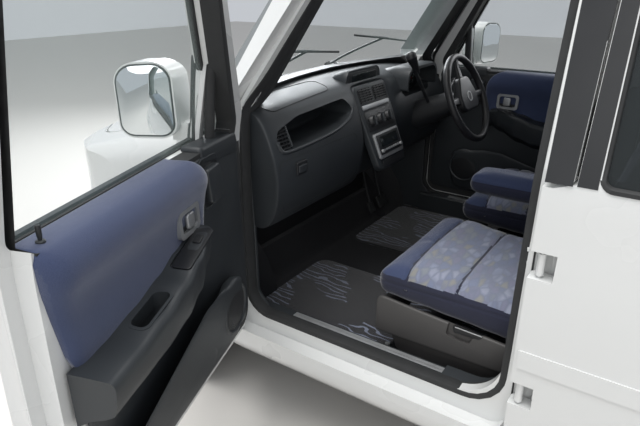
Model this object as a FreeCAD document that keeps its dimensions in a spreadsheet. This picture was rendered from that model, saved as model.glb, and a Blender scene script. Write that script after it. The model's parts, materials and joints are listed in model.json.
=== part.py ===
import FreeCAD, Part
import math
import os

# Kei car with a tall wagon body, right-hand drive, its left front door standing open.
# X points to the car's left, Y to the rear and Z up, in millimetres.
# The origin is on the ground, midway between the four wheels' outer ends.

Vec = FreeCAD.Vector
doc = FreeCAD.newDocument("KeiCar")

# Driving dimensions
driving = [
    ("body_length", 3395),
    ("wheelbase", 2340),
    ("front_axle_back", 600),
    ("track", 1300),
    ("wall", 75),
    ("slab", 40),
    ("sheet_gap", 6),
    ("ground_clearance", 190),
    ("belt_height", 990),
    ("door_top", 1560),
    ("hinge_across", 716),
    ("front_hinge_along", -732),
    ("rear_hinge_along", 154),
    ("nose_radius", 29),
    ("pocket_radius", 34.5),
    ("nose_lead", 20),
    ("pin_radius", 4),
    ("pin_play", 0.05),
    ("barrel_radius", 9),
    ("barrel_height", 50),
    ("lower_hinge_height", 480),
    ("upper_hinge_height", 814),
    ("door_open_angle", 70.5),
    ("handle_height", 868),
    ("handle_length", 96),
    ("front_handle_end", 100),
    ("rear_handle_end", 928),
    ("tyre_radius", 260),
    ("tyre_width", 144),
    ("bead_radius", 168),
    ("rim_width", 136),
    ("spindle_radius", 15),
    ("front_well_radius", 302),
    ("rear_well_radius", 290),
    ("kingpin_across", 620),
    ("kingpin_radius", 9),
    ("wheel_tilt", 24),
    ("wheel_across", -337),
    ("wheel_along", -410),
    ("wheel_height", 932),
    ("wheel_ring_radius", 166),
    ("wheel_ring_thickness", 14),
    ("bonnet_hinge_along", -945),
    ("bonnet_hinge_height", 1040),
    ("tailgate_hinge_along", 1556),
    ("tailgate_hinge_height", 1642),
    ("lid_pin_radius", 4),
    ("lid_barrel_radius", 7),
    ("lid_barrel_half", 11),
    ("dash_seam", 2),
    ("engine_width", 560),
    ("engine_depth", 400),
    ("engine_height", 420),
    ("engine_front", -1500),
    ("engine_base", 290),
]
sheet = doc.addObject("Spreadsheet::Sheet", "Sizes")
for row, (alias, amount) in enumerate(driving, start=1):
    sheet.set("A%d" % row, alias)
    sheet.set("B%d" % row, str(amount))
    sheet.setAlias("B%d" % row, alias)
doc.recompute()


def size(alias):
    return float(sheet.get(alias))


wall = size("wall")
slab = size("slab")
gap = size("sheet_gap")
hinge_x = size("hinge_across")
front_hinge_y = size("front_hinge_along")
rear_hinge_y = size("rear_hinge_along")
front_axle_y = -size("wheelbase") / 2 + 73
rear_axle_y = front_axle_y + size("wheelbase")
wheel_x = size("track") / 2
axle_z = size("tyre_radius")


# Outlines: a list of corners, each (across, up, corner radius)

def rounded_wire(corners, to_space):
    # straight sides joined by arcs at the corners that have a radius
    starts, middles, ends = [], [], []
    count = len(corners)
    for index, (a, b, radius) in enumerate(corners):
        before = corners[index - 1]
        after = corners[(index + 1) % count]
        corner = Vec(a, b, 0)
        if radius <= 0:
            starts.append(corner)
            middles.append(None)
            ends.append(corner)
            continue
        to_before = Vec(before[0] - a, before[1] - b, 0).normalize()
        to_after = Vec(after[0] - a, after[1] - b, 0).normalize()
        half = to_before.getAngle(to_after) / 2
        run = radius / math.tan(half)
        bisector = (to_before + to_after).normalize()
        starts.append(corner + to_before * run)
        ends.append(corner + to_after * run)
        middles.append(corner + bisector * (radius / math.sin(half) - radius))
    edges = []
    for index in range(count):
        if middles[index] is not None:
            points = [to_space(p.x, p.y) for p in (starts[index], middles[index], ends[index])]
            edges.append(Part.Arc(*points).toShape())
        here = to_space(ends[index].x, ends[index].y)
        following = starts[(index + 1) % count]
        there = to_space(following.x, following.y)
        if here.distanceToPoint(there) > 0.001:
            edges.append(Part.LineSegment(here, there).toShape())
    return Part.Wire(edges)


def inset(corners, depth):
    # every side moved inwards by depth, or outwards where depth is negative
    if depth == 0:
        return list(corners)
    count = len(corners)
    area = sum(corners[i - 1][0] * corners[i][1] - corners[i][0] * corners[i - 1][1] for i in range(count))
    turn = 1 if area > 0 else -1
    sides = []
    for index in range(count):
        a, b = corners[index][:2]
        c, d = corners[(index + 1) % count][:2]
        run = math.hypot(c - a, d - b)
        nx, ny = -(d - b) / run * turn, (c - a) / run * turn
        sides.append((a + nx * depth, b + ny * depth, c - a, d - b))
    moved = []
    for index in range(count):
        a, b, p, q = sides[index - 1]
        c, d, r, s = sides[index]
        cross = p * s - q * r
        if abs(cross) < 1e-6:
            moved.append((c, d, 0))
            continue
        share = ((c - a) * s - (d - b) * r) / cross
        radius = corners[index][2]
        bends_out = cross * turn > 0
        if radius > 0:
            radius = max(radius - depth, 0) if bends_out else max(radius + depth, 0)
        moved.append((a + p * share, b + q * share, radius))
    return moved


def prism(corners, plane, low, high):
    # an outline in plane "yz", "xz" or "xy", drawn out along the third axis from low to high
    spaces = {
        "yz": (lambda a, b: Vec(low, a, b), Vec(high - low, 0, 0)),
        "xz": (lambda a, b: Vec(a, low, b), Vec(0, high - low, 0)),
        "xy": (lambda a, b: Vec(a, b, low), Vec(0, 0, high - low)),
    }
    to_space, way = spaces[plane]
    return Part.Face(rounded_wire(corners, to_space)).extrude(way)


def both_sides(half):
    # a half outline, from its low middle to its high middle, mirrored to the other side
    other = [(-a, b, radius) for a, b, radius in reversed(half) if a > 0.001]
    return list(half) + other


def block(x0, x1, y0, y1, z0, z1):
    return Part.makeBox(x1 - x0, y1 - y0, z1 - z0, Vec(x0, y0, z0))


def rod(radius, start, end):
    way = end - start
    return Part.makeCylinder(radius, way.Length, start, way)


def fused(shapes):
    whole = shapes[0].multiFuse(shapes[1:]) if len(shapes) > 1 else shapes[0]
    return whole.removeSplitter()


def mirrored(shape):
    return shape.mirror(Vec(0, 0, 0), Vec(1, 0, 0))


# Body form: the outside of the car, or the same form inset by a depth

# half of the cabin's cross-section: (across, height, corner radius)
cabin_section = [
    (0, 190, 0),
    (655, 190, 25),
    (722, 262, 100),
    (737, 640, 4000),
    (727, 990, 600),
    (612, 1560, 150),
    (520, 1650, 200),
    (0, 1688, 3000),
]
# cabin side view: (along, height, corner radius)
cabin_side = [
    (-1000, 190, 0),
    (-1000, 891, 0),
    (-510, 1610, 160),
    (-100, 1668, 1500),
    (700, 1690, 6000),
    (1380, 1672, 1200),
    (1590, 1630, 45),
    (1660, 1000, 2500),
    (1697, 620, 1200),
    (1697, 300, 50),
    (1650, 190, 20),
]
# half of the tail's plan: (across, along, corner radius)
tail_plan = [
    (0, -1300, 0),
    (760, -1300, 0),
    (760, 1450, 500),
    (640, 1665, 120),
    (420, 1716, 500),
    (0, 1726, 3000),
]
# half of the bonnet's cross-section, at the bonnet's rear edge
bonnet_section = [
    (0, -800, 0),
    (728, -800, 0),
    (728, 935, 85),
    (380, 1020, 900),
    (0, 1056, 2500),
]
nose_side = [
    (-930, 190, 0),
    (-930, 1120, 0),
    (-1290, 1120, 0),
    (-1655, 775, 140),
    (-1697, 560, 200),
    (-1697, 310, 50),
    (-1640, 190, 20),
]
nose_plan = [
    (0, -700, 0),
    (745, -700, 0),
    (742, -1180, 500),
    (700, -1430, 250),
    (606, -1590, 150),
    (420, -1672, 300),
    (0, -1704, 2500),
]
screen_slope = Vec(0, 361, 530).normalize()
screen_foot = Vec(0, -936, 985)
screen_radius = 2200
bonnet_slope = Vec(0, 470, 125).normalize()


def leaning_prism(corners, plane, place, way):
    spaces = {
        "xz": lambda a, b: Vec(a, place, b),
        "xy": lambda a, b: Vec(a, b, place),
    }
    return Part.Face(rounded_wire(corners, spaces[plane])).extrude(way)


def cabin_form(depth):
    section = prism(inset(both_sides(cabin_section), depth), "xz", -1300, 1900)
    side = prism(inset(cabin_side, depth), "yz", -900, 900)
    outward = Vec(0, -screen_slope.z, screen_slope.y)
    centre = screen_foot - outward * screen_radius
    bow = Part.makeCylinder(screen_radius - depth, 8000, centre - screen_slope * 4000, screen_slope)
    lean = Vec(0, -0.09, 1) * 2400
    tail = leaning_prism(inset(both_sides(tail_plan), depth), "xy", 100, lean)
    return section.common(side).common(bow).common(tail)


def nose_form(depth):
    ahead = 940
    fall = ahead * bonnet_slope.z / bonnet_slope.y
    lowered = both_sides([(across, height - fall, radius) for across, height, radius in bonnet_section])
    front = leaning_prism(inset(lowered, depth), "xz", -930 - ahead, bonnet_slope * 1200)
    side = prism(inset(nose_side, depth), "yz", -900, 900)
    plan = prism(inset(both_sides(nose_plan), depth), "xy", 100, 1300)
    section = prism(inset(both_sides(cabin_section), depth), "xz", -1900, -600)
    return front.common(side).common(plan).common(section)


forms = {}


def form(depth):
    if depth not in forms:
        forms[depth] = cabin_form(depth).fuse(nose_form(depth)).removeSplitter()
    return forms[depth]


def layer(outer, inner):
    return form(outer).cut(form(inner))


# Door and window outlines, side view: (along, height, corner radius)
front_door_line = [
    (front_hinge_y, 336, 0),
    (front_hinge_y, 1012, 60),
    (-352, 1558, 110),
    (128, 1558, 30),
    (125, 336, 45),
]
front_plug_line = [
    (-690, 396, 60),
    (-690, 1040, 60),
    (-370, 1530, 80),
    (104, 1530, 30),
    (96, 560, 0),
    (92, 396, 120),
]
front_window_line = [
    (-640, 996, 25),
    (-352, 1505, 70),
    (104, 1505, 30),
    (108, 996, 25),
]
rear_door_line = [
    (rear_hinge_y, 336, 0),
    (rear_hinge_y, 985, 0),
    (196, 1000, 0),
    (206, 1558, 30),
    (915, 1558, 110),
    (975, 1010, 60),
    (968, 700, 120),
    (850, 336, 60),
]
rear_plug_line = [
    (200, 396, 60),
    (222, 1530, 30),
    (890, 1530, 80),
    (945, 1010, 60),
    (936, 730, 120),
    (810, 396, 60),
]
rear_window_line = [
    (236, 996, 25),
    (236, 1505, 30),
    (862, 1505, 70),
    (915, 996, 40),
]
quarter_window_line = [
    (1040, 1010, 40),
    (1025, 1475, 50),
    (1385, 1465, 70),
    (1455, 1020, 60),
]
# openings seen from the front or behind: (across, height, corner radius)
screen_line = both_sides([(0, 1056, 0), (632, 1050, 55), (545, 1548, 60), (0, 1562, 0)])
tailgate_line = both_sides([(0, 566, 0), (596, 566, 70), (604, 1000, 900), (520, 1680, 0), (0, 1700, 0)])
tailgate_window_line = both_sides([(0, 1010, 0), (545, 1010, 60), (490, 1540, 70), (0, 1555, 3000)])
bonnet_line = both_sides([(0, -1690, 2500), (330, -1660, 250), (560, -1530, 200), (598, -1090, 900), (598, -900, 0),
                          (0, -900, 0)])


def side_cut(line, spread):
    # a side outline grown by spread, through the left side of the body
    return prism(inset(line, -spread), "yz", 300, 900)


def axis_rod(radius, along, low, high):
    return Part.makeCylinder(radius, high - low, Vec(hinge_x, along, low))


hinge_heights = [size("lower_hinge_height"), size("upper_hinge_height")]
nose_low, nose_high = 336, 985


def door_shell(line, plug, window, along):
    # outer slab with a rolled front edge, and the deeper plug that enters the doorway
    outer = form(0).cut(form(slab)).common(side_cut(line, 0))
    inner = form(slab).cut(form(wall)).common(side_cut(plug, 0))
    rolled = axis_rod(size("nose_radius"), along, nose_low, nose_high)
    lead = block(600, 800, along - size("nose_lead"), along + 30, nose_low, nose_high)
    nose = rolled.common(lead).common(form(0))
    shell = fused([outer, inner, nose]).cut(side_cut(window, 0))
    for height in hinge_heights:
        reach = size("barrel_height") / 2
        shell = shell.cut(axis_rod(size("pocket_radius") + 1, along, height - reach - gap, height + reach + gap))
        shell = shell.fuse(axis_rod(size("pin_radius"), along, height - reach - 14, height + reach + 14))
    return shell.removeSplitter()




def with_handle(shell, rear_end):
    # a pull handle: a shallow cup in the outer skin with a bar left standing across it
    low, high = size("handle_height") - 22, size("handle_height") + 22
    start = rear_end - size("handle_length")
    cup = [(start, low, 18), (start, high, 18), (rear_end, high, 18), (rear_end, low, 18)]
    grip = [(start - 6, low + 16, 6), (start - 6, high - 4, 6), (rear_end + 6, high - 4, 6), (rear_end + 6, low + 16, 6)]
    shell = shell.cut(layer(0, 16).common(side_cut(cup, 0)))
    return shell.fuse(layer(0, 8).common(side_cut(grip, 0))).removeSplitter()


front_door = door_shell(front_door_line, front_plug_line, front_window_line, front_hinge_y)
front_door = with_handle(front_door, size("front_handle_end"))
front_door = front_door.cut(axis_rod(size("pocket_radius"), rear_hinge_y, 300, 1010))
rear_door = door_shell(rear_door_line, rear_plug_line, rear_window_line, rear_hinge_y)
rear_arch = rod(size("rear_well_radius") + 12, Vec(500, rear_axle_y, axle_z), Vec(900, rear_axle_y, axle_z))
rear_door = with_handle(rear_door.cut(rear_arch), size("rear_handle_end"))


def window_pane(line, spread, deep):
    return form(deep).cut(form(deep + 4)).common(side_cut(line, spread))


front_glass = window_pane(front_window_line, 0, 14)
divider = block(600, 760, -556, -534, 996, 1505)
front_door = front_door.fuse(divider.common(layer(6, 30)).common(side_cut(front_window_line, 0)))
front_glass = front_glass.cut(divider)
rear_glass = window_pane(rear_window_line, 0, 14)

# Front door trim on its inner face
trim_line = [
    (-655, 432, 40),
    (-655, 985, 30),
    (98, 985, 20),
    (78, 700, 60),
    (60, 432, 90),
]
trim_panel = form(wall).cut(form(wall + 20)).common(side_cut(trim_line, 0))
arm_line = [(-425, 745, 30), (-335, 842, 30), (-215, 806, 120), (76, 772, 12), (76, 690, 20), (-200, 700, 120)]
arm_rest = form(wall).common(prism(arm_line, "yz", 562, 800))
pocket_line = [(-310, 452, 40), (-310, 684, 30), (-50, 596, 30), (10, 452, 40)]
pocket_box = form(wall).common(prism(pocket_line, "yz", 596, 800))
pocket_room = prism(inset(pocket_line, 12), "yz", 604, 638).fuse(
    prism([(-290, 560, 0), (-290, 760, 0), (-40, 760, 0), (-40, 520, 0)], "yz", 604, 638)
)
speaker = form(wall).common(rod(72, Vec(628, -491, 560), Vec(800, -491, 560)))
bezel_room = prism([(-362, 846, 18), (-352, 925, 18), (-268, 925, 18), (-276, 846, 18)], "yz", 600, 650)
trim = fused([trim_panel, arm_rest, pocket_box, speaker]).cut(pocket_room).cut(bezel_room)

# Door mirror, its arm rooted on the door's front corner at the belt, its face turned a little inwards
mirror_line = [(-598, 1005, 40), (-590, 1192, 45), (-440, 1192, 10), (-440, 1005, 10)]
mirror_face = [(700, -524, 0), (900, -460, 0), (900, -400, 0), (700, -400, 0)]
mirror_front = [(735, 1005, 38), (739, 1192, 46), (868, 1186, 50), (866, 1010, 38)]
mirror_head = prism(mirror_line, "yz", 700, 900).common(prism(mirror_front, "xz", -700, -400))
mirror_head = mirror_head.cut(prism(mirror_face, "xy", 900, 1300))
mirror_arm = block(700, 762, -585, -532, 996, 1040).cut(form(0))
mirror = fused([mirror_head, mirror_arm])

# Body side: posts, cant rail, sill and rear quarter in one piece
front_well = rod(size("front_well_radius"), Vec(430, front_axle_y, axle_z), Vec(900, front_axle_y, axle_z))
rear_well = rod(size("rear_well_radius"), Vec(540, rear_axle_y, axle_z), Vec(900, rear_axle_y, axle_z))
screen_hole = prism(screen_line, "xz", -1200, -300)
tail_hole = prism(inset(tailgate_line, -gap), "xz", 1400, 1900)
fender_end = front_hinge_y - 29
lamp_room = block(610, 800, 1545, 1800, 640, 1180)
bumper_top = 556


def doorway(line, plug, along):
    step = side_cut(line, gap).cut(form(slab + gap))
    through = side_cut(plug, 8)
    swing = axis_rod(size("pocket_radius"), along, nose_low - gap, nose_high + 34)
    ahead = block(600, 900, along - 29, along + 1, nose_low - gap, nose_high + 30).cut(form(10))
    return [step, through, swing, ahead]


side_region = fused([
    block(545, 800, fender_end, 1750, 180, 1700),
    block(545, 800, -939, fender_end + 1, 985, 1300),
])
body_side = layer(0, wall).common(side_region)
for cutter in doorway(front_door_line, front_plug_line, front_hinge_y):
    body_side = body_side.cut(cutter)
for cutter in doorway(rear_door_line, rear_plug_line, rear_hinge_y):
    body_side = body_side.cut(cutter)
rear_bumper_room = block(-800, 800, 1400, 1800, 180, bumper_top)
for cutter in [
    front_well,
    rear_well,
    screen_hole,
    tail_hole,
    lamp_room,
    rear_bumper_room,
    side_cut(quarter_window_line, 0),
]:
    body_side = body_side.cut(cutter)
quarter_glass = window_pane(quarter_window_line, 0, 5)

# Hinges: a bored barrel on the door's axis and a strap into the post
def barrel(along):
    parts = []
    for height in hinge_heights:
        reach = size("barrel_height") / 2
        tube = axis_rod(size("barrel_radius"), along, height - reach, height + reach)
        strap = block(hinge_x - 30, hinge_x, along - 8.5, along - 1.5, height - reach, height + reach)
        leaf = fused([tube, strap])
        parts.append(leaf.cut(axis_rod(size("pin_radius") + size("pin_play"), along, height - 60, height + 60)))
    return parts


def cross_rod(radius, low, high, along, height):
    return Part.makeCylinder(radius, high - low, Vec(low, along, height), Vec(1, 0, 0))


def lid_hinges(lid, holder, middles, along, height, way):
    # each hinge is a pin on the lid's edge, in a bored barrel that a strap ties to the fixed panel behind it
    pin = size("lid_pin_radius")
    tube = size("lid_barrel_radius")
    for middle in middles:
        low, high = middle - size("lid_barrel_half"), middle + size("lid_barrel_half")
        lid = lid.cut(cross_rod(tube + 3, low - 3, high + 3, along, height))
        for start in (low - 16, high + 3):
            lid = lid.fuse(block(start, start + 13, min(along, along - way * 8), max(along, along - way * 8),
                                 height - 22, height))
        lid = lid.fuse(cross_rod(pin, low - 16, high + 16, along, height))
        strap = block(low, high, min(along, along + way * 24), max(along, along + way * 24), height - 9, height - 2)
        leaf = fused([cross_rod(tube, low, high, along, height), strap])
        holder = holder.fuse(leaf.cut(cross_rod(pin + size("pin_play"), low - 1, high + 1, along, height)))
    return lid.removeSplitter(), holder.removeSplitter()


# Roof, scuttle and wings
roof = layer(0, wall).common(block(-545, 545, -700, 1550, 1400, 1750)).cut(screen_hole)
for line in (front_plug_line, rear_plug_line):
    roof = roof.cut(side_cut(line, 8)).cut(mirrored(side_cut(line, 8)))
headroom = form(36).common(block(-500, 500, -330, 1440, 1400, 1750))
roof = roof.cut(headroom)
scuttle = layer(0, 40).common(block(-545, 545, -939, -780, 985, 1100)).cut(screen_hole)
windscreen = form(3).common(screen_hole).cut(form(8))
bonnet = layer(0, 22).common(prism(bonnet_line, "xy", 788, 1200))
bonnet = bonnet.cut(block(-800, 800, size("bonnet_hinge_along"), 0, 0, 1300))
bonnet, scuttle = lid_hinges(bonnet, scuttle, (-190, 190), size("bonnet_hinge_along"), size("bonnet_hinge_height"), 1)
bonnet_hole = prism(inset(bonnet_line, -gap), "xy", 780, 1300)
bonnet_rise = bonnet_hole.copy()
bonnet_rise.translate(Vec(0, -9, 0))
bonnet_hole = bonnet_hole.fuse(bonnet_rise)
lamp_line = [(396, 640, 30), (396, 792, 20), (720, 812, 0), (760, 700, 0), (700, 612, 30)]
lamp_side = block(390, 760, -1720, -1452, 606, 812)
headlamp = layer(0, 60).common(prism(inset(lamp_line, 1.5), "xz", -1720, -1452)).cut(bonnet_hole)
fender = layer(0, 30).common(block(400, 800, -1720, fender_end, 330, 985))
for cutter in [
    prism(lamp_line, "xz", -1720, -1452),
    bonnet_hole,
    block(0, 800, -1720, -1398, 180, 606),
    block(0, 600, -1720, -1452, 180, 1000),
    front_well,
    axis_rod(size("pocket_radius"), front_hinge_y, 200, 1100),
    block(0, 601, -939, -500, 900, 1100),
]:
    fender = fender.cut(cutter)
front_bumper = layer(0, 40).common(
    fused([block(-800, 800, -1720, -1398, 180, 606), block(-600, 600, -1720, -1452, 600, 1000)])
)
grille_line = both_sides([(0, 640, 0), (330, 640, 30), (350, 756, 30), (0, 768, 3000)])
intake_line = both_sides([(0, 300, 0), (360, 300, 40), (330, 430, 40), (0, 430, 0)])
for cutter in [
    prism(lamp_line, "xz", -1720, -1452),
    mirrored(prism(lamp_line, "xz", -1720, -1452)),
    bonnet_hole,
    front_well,
    mirrored(front_well),
    prism(grille_line, "xz", -1720, -1452),
    prism(intake_line, "xz", -1720, -1452),
]:
    front_bumper = front_bumper.cut(cutter)
grille_bars = []
for height in range(658, 760, 24):
    grille_bars.append(block(-345, 345, -1720, -1500, height - 5, height + 5))
grille = layer(8, 24).common(fused(grille_bars + [block(-6, 6, -1720, -1500, 645, 765)]))
grille = grille.common(prism(grille_line, "xz", -1720, -1452))
rear_bumper = layer(0, 50).common(block(-800, 800, 1400, 1800, 180, bumper_top)).cut(rear_well)
rear_bumper = rear_bumper.cut(mirrored(rear_well))
rear_bumper = rear_bumper.cut(block(-540, 540, 1400, 1600, 180, 300))
plate_bolt = rod(3.5, Vec(105, 1600, 460), Vec(105, 1800, 460))
rear_bumper = rear_bumper.cut(plate_bolt).cut(mirrored(plate_bolt))
tail_lamp = layer(0, 46).common(lamp_room).cut(tail_hole)

# Tailgate, turning on the roof's rear edge
tailgate = layer(0, 55).common(prism(tailgate_line, "xz", size("tailgate_hinge_along"), 1800))
tailgate = tailgate.cut(prism(tailgate_window_line, "xz", 1400, 1800))
tailgate, roof = lid_hinges(tailgate, roof, (-300, 300), size("tailgate_hinge_along"), size("tailgate_hinge_height"),
                            -1)
tailgate_glass = form(4).cut(form(9)).common(prism(tailgate_window_line, "xz", 1500, 1800))

# Floor, bulkhead and rails
floor_line = [
    (-925, 262, 0),
    (-925, 420, 0),
    (-900, 420, 0),
    (-860, 292, 30),
    (880, 292, 60),
    (960, 500, 60),
    (1600, 500, 0),
    (1600, 470, 0),
    (990, 470, 40),
    (910, 262, 60),
]
floor_pan = prism(floor_line, "yz", -661, 661).common(form(wall + 1))
bulkhead = block(-600, 600, -950, -926, 262, 1000).common(form(41))
rail = block(300, 360, -1600, -950, 330, 430)
cross = block(-420, 420, -1600, -1560, 330, 430)
legs = block(-420, -380, -1600, -1560, 430, 700).fuse(block(380, 420, -1600, -1560, 430, 700))
top_bar = block(-420, 420, -1600, -1560, 690, 720)
inner_wing = block(424, 430, -1440, -949, 330, 700)
tower_top = block(424, 640, -1165, -1030, 608, 616)
inner_sides = fused([rail, inner_wing, tower_top])
bay = form(41).fuse(block(-620, 620, -1010, -920, 262, 900))
front_frame = fused([bulkhead, inner_sides, mirrored(inner_sides), cross, legs, top_bar]).common(bay)
for well, inner in ((front_well, 430), (rear_well, 540)):
    along = front_axle_y if well is front_well else rear_axle_y
    radius = size("front_well_radius") if well is front_well else size("rear_well_radius")
    skin = rod(radius + 4, Vec(inner - 4, along, axle_z), Vec(900, along, axle_z))
    skin = skin.common(form(wall + 1)).common(block(0, 900, -925, 1650, 280, 800))
    floor_pan = floor_pan.fuse(skin).fuse(mirrored(skin)).cut(well).cut(mirrored(well))
    front_frame = front_frame.cut(well).cut(mirrored(well))
floor_pan = floor_pan.removeSplitter()
rear_liner = rod(size("rear_well_radius") + 4, Vec(536, rear_axle_y, axle_z), Vec(900, rear_axle_y, axle_z))

# Dashboard, centre panel and column
dash_line = [
    (-850, 1030, 30),
    (-690, 1016, 120),
    (-636, 985, 25),
    (-604, 920, 60),
    (-596, 790, 60),
    (-604, 690, 30),
    (-660, 640, 40),
    (-850, 720, 40),
]
ledge_line = [(-925, 1000, 0), (-925, 1038, 0), (-800, 1026, 0), (-700, 1010, 0), (-700, 1000, 0)]
shelf_low, shelf_high = 895, 969
dash = prism(dash_line, "yz", -640, 640).common(form(wall + 26))
dash = dash.cut(block(-700, 700, front_hinge_y - 400, -860, 600, 1100))
ledge = prism(ledge_line, "yz", -600, 600).common(form(18))
for neighbour in (body_side, mirrored(body_side), scuttle):
    ledge = ledge.cut(neighbour)
hood = prism([(-760, 980, 0), (-770, 1050, 30), (-600, 1066, 40), (-580, 985, 20)], "yz", -480, -194)
hood_room = prism([(-700, 972, 0), (-700, 1030, 20), (-560, 1046, 0), (-540, 972, 0)], "yz", -466, -208)
display = prism([(-790, 1000, 0), (-785, 1060, 30), (-700, 1080, 12), (-688, 1000, 0)], "yz", -118, 118)
shelf_room = block(176, 586, -760, -500, shelf_low - 5, shelf_high + 5)
panel_line = [(-668, 1010, 8), (-592, 846, 40), (-556, 740, 10), (-560, 700, 10), (-640, 700, 0), (-700, 1000, 0)]
centre_panel = prism(panel_line, "yz", -112, 112)
seam = size("dash_seam")
dash_lower = dash.common(block(-700, 700, -1000, -400, 600, shelf_low)).cut(centre_panel)
dash_middle = dash.common(block(-700, 700, -1000, -400, shelf_low + seam, shelf_high))
dash_middle = dash_middle.cut(shelf_room).cut(centre_panel)
dash_upper = dash.common(block(-700, 700, -1000, -400, shelf_high + seam, 1100))
dash_upper = fused([dash_upper, ledge, hood, display]).cut(block(-700, 700, -1000, -400, 600, shelf_high + seam))
dash_upper = dash_upper.cut(hood_room).cut(centre_panel)
tilt = math.radians(size("wheel_tilt"))
column_way = Vec(0, math.cos(tilt), math.sin(tilt))
wheel_middle = Vec(size("wheel_across"), size("wheel_along"), size("wheel_height"))


def along_column(distance, across=0, rise=0):
    up = Vec(0, -column_way.z, column_way.y)
    return wheel_middle + column_way * distance + Vec(across, 0, 0) + up * rise


shroud = fused([
    Part.makeCone(62, 46, 180, along_column(-240), column_way),
    rod(9, along_column(-120), Vec(-560, -560, 960)),
])
shroud = shroud.cut(rod(9.05, along_column(-140), along_column(20)))
lever = fused([rod(7, Vec(-300, -560, 905), Vec(-150, -577, 1080)), Part.makeSphere(21, Vec(-150, -577, 1096))])
column = fused([shroud, lever])
shroud_room = Part.makeCone(62, 46, 180, along_column(-240), column_way).fuse(lever)
dashboard = [piece.cut(shroud_room) for piece in (dash_lower, dash_middle, dash_upper)]

# Steering wheel: ring, three spokes, pad and shaft
ring = Part.makeTorus(size("wheel_ring_radius"), size("wheel_ring_thickness"), wheel_middle, column_way)
pad = Part.makeCone(74, 58, 30, along_column(-24), column_way)
spokes = [
    rod(11, along_column(-10, -50), along_column(0, -158)),
    rod(11, along_column(-10, 50), along_column(0, 158)),
    rod(11, along_column(-10, 0, -50), along_column(0, 0, -158)),
]
shaft = rod(9, along_column(-110), along_column(-20))
steering_wheel = fused([ring, pad, shaft] + spokes)

# Seats
# seat cushion, side view: (along, height, corner radius)
cushion_line = [(-314, 520, 30), (-325, 612, 40), (-190, 622, 300), (200, 590, 40), (200, 484, 30), (-200, 512, 100)]
back_line = [(160, 655, 35), (300, 1150, 50), (400, 1150, 45), (345, 560, 40), (215, 560, 0), (215, 640, 0)]
head_line = [(300, 1190, 35), (330, 1350, 40), (410, 1350, 40), (390, 1190, 30)]
seat_cushion = prism(cushion_line, "yz", 76, 585)
seat_back = prism(back_line, "yz", 84, 580)
head_rest = prism(head_line, "yz", 207, 457)
posts = fused([rod(6, Vec(x, 345, 1120), Vec(x, 362, 1230)) for x in (285, 379)])
seat_back = seat_back.cut(seat_cushion)
head_rest = fused([head_rest, posts]).cut(seat_back)
skirt_line = [(-303, 394, 20), (-303, 522, 20), (-200, 512, 0), (190, 482, 0), (190, 402, 20)]
seat_base = fused([
    prism(skirt_line, "yz", 560, 575),
    prism(skirt_line, "yz", 90, 105),
    block(100, 565, -290, -260, 402, 500),
    block(100, 565, 150, 180, 410, 470),
    block(130, 160, -270, 180, 292, 420),
    block(505, 535, -270, 180, 292, 420),
])
seat_base = seat_base.cut(seat_cushion).cut(seat_back)
arm_pad = prism([(-245, 690, 30), (-235, 772, 30), (170, 772, 20), (190, 690, 20)], "yz", -48, 78)
arm_pivot = rod(16, Vec(20, 160, 730), Vec(90, 160, 730))
armrest = fused([arm_pad, arm_pivot]).cut(seat_back)
rear_cushion = prism([(560, 500, 40), (555, 620, 50), (980, 600, 40), (1000, 505, 30)], "yz", -600, 600)
rear_back = prism([(985, 620, 40), (1075, 1120, 50), (1165, 1120, 40), (1110, 505, 30), (1010, 505, 10)],
                  "yz", -600, 600)
rear_legs = [block(x, x + 40, 600, 820, 292, 505) for x in (-500, 460)]
rear_seat = fused([rear_cushion, rear_back] + rear_legs).cut(rear_liner).cut(mirrored(rear_liner))

# Door seals: rubber strips round the doorways, on the posts' inner faces
def seal(plug):
    ring_shape = side_cut(plug, 20).cut(side_cut(plug, 9))
    return layer(wall, wall + 10).common(ring_shape)


seals = [seal(front_plug_line), seal(rear_plug_line)]
for index, strip in enumerate(seals):
    strip = strip.cut(rear_well).cut(front_well)
    seals[index] = strip

# Wheels: one tyre and one rim each, made once and placed four times


def revolved(name, corners):
    # a body turned about the X axis from an outline of (across, radius, corner radius)
    body = doc.addObject("PartDesign::Body", name)
    sketch = body.newObject("Sketcher::SketchObject", name + "_outline")
    flat = [f for f in body.Origin.OriginFeatures if f.Role == "XY_Plane"][0]
    sketch.AttachmentSupport = [(flat, "")]
    sketch.MapMode = "FlatFace"
    wire = rounded_wire(corners, lambda a, b: Vec(a, b, 0))
    for edge in wire.Edges:
        if isinstance(edge.Curve, Part.Line):
            sketch.addGeometry(Part.LineSegment(edge.Vertexes[0].Point, edge.Vertexes[1].Point), False)
        else:
            middle = edge.valueAt((edge.FirstParameter + edge.LastParameter) / 2)
            ends = [edge.valueAt(edge.FirstParameter), edge.valueAt(edge.LastParameter)]
            sketch.addGeometry(Part.Arc(ends[0], middle, ends[1]), False)
    doc.recompute()
    turn = body.newObject("PartDesign::Revolution", name + "_turned")
    turn.Profile = sketch
    turn.ReferenceAxis = (sketch, ["H_Axis"])
    turn.Angle = 360.0
    doc.recompute()
    body.Tip = turn
    doc.recompute()
    return body


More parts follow.
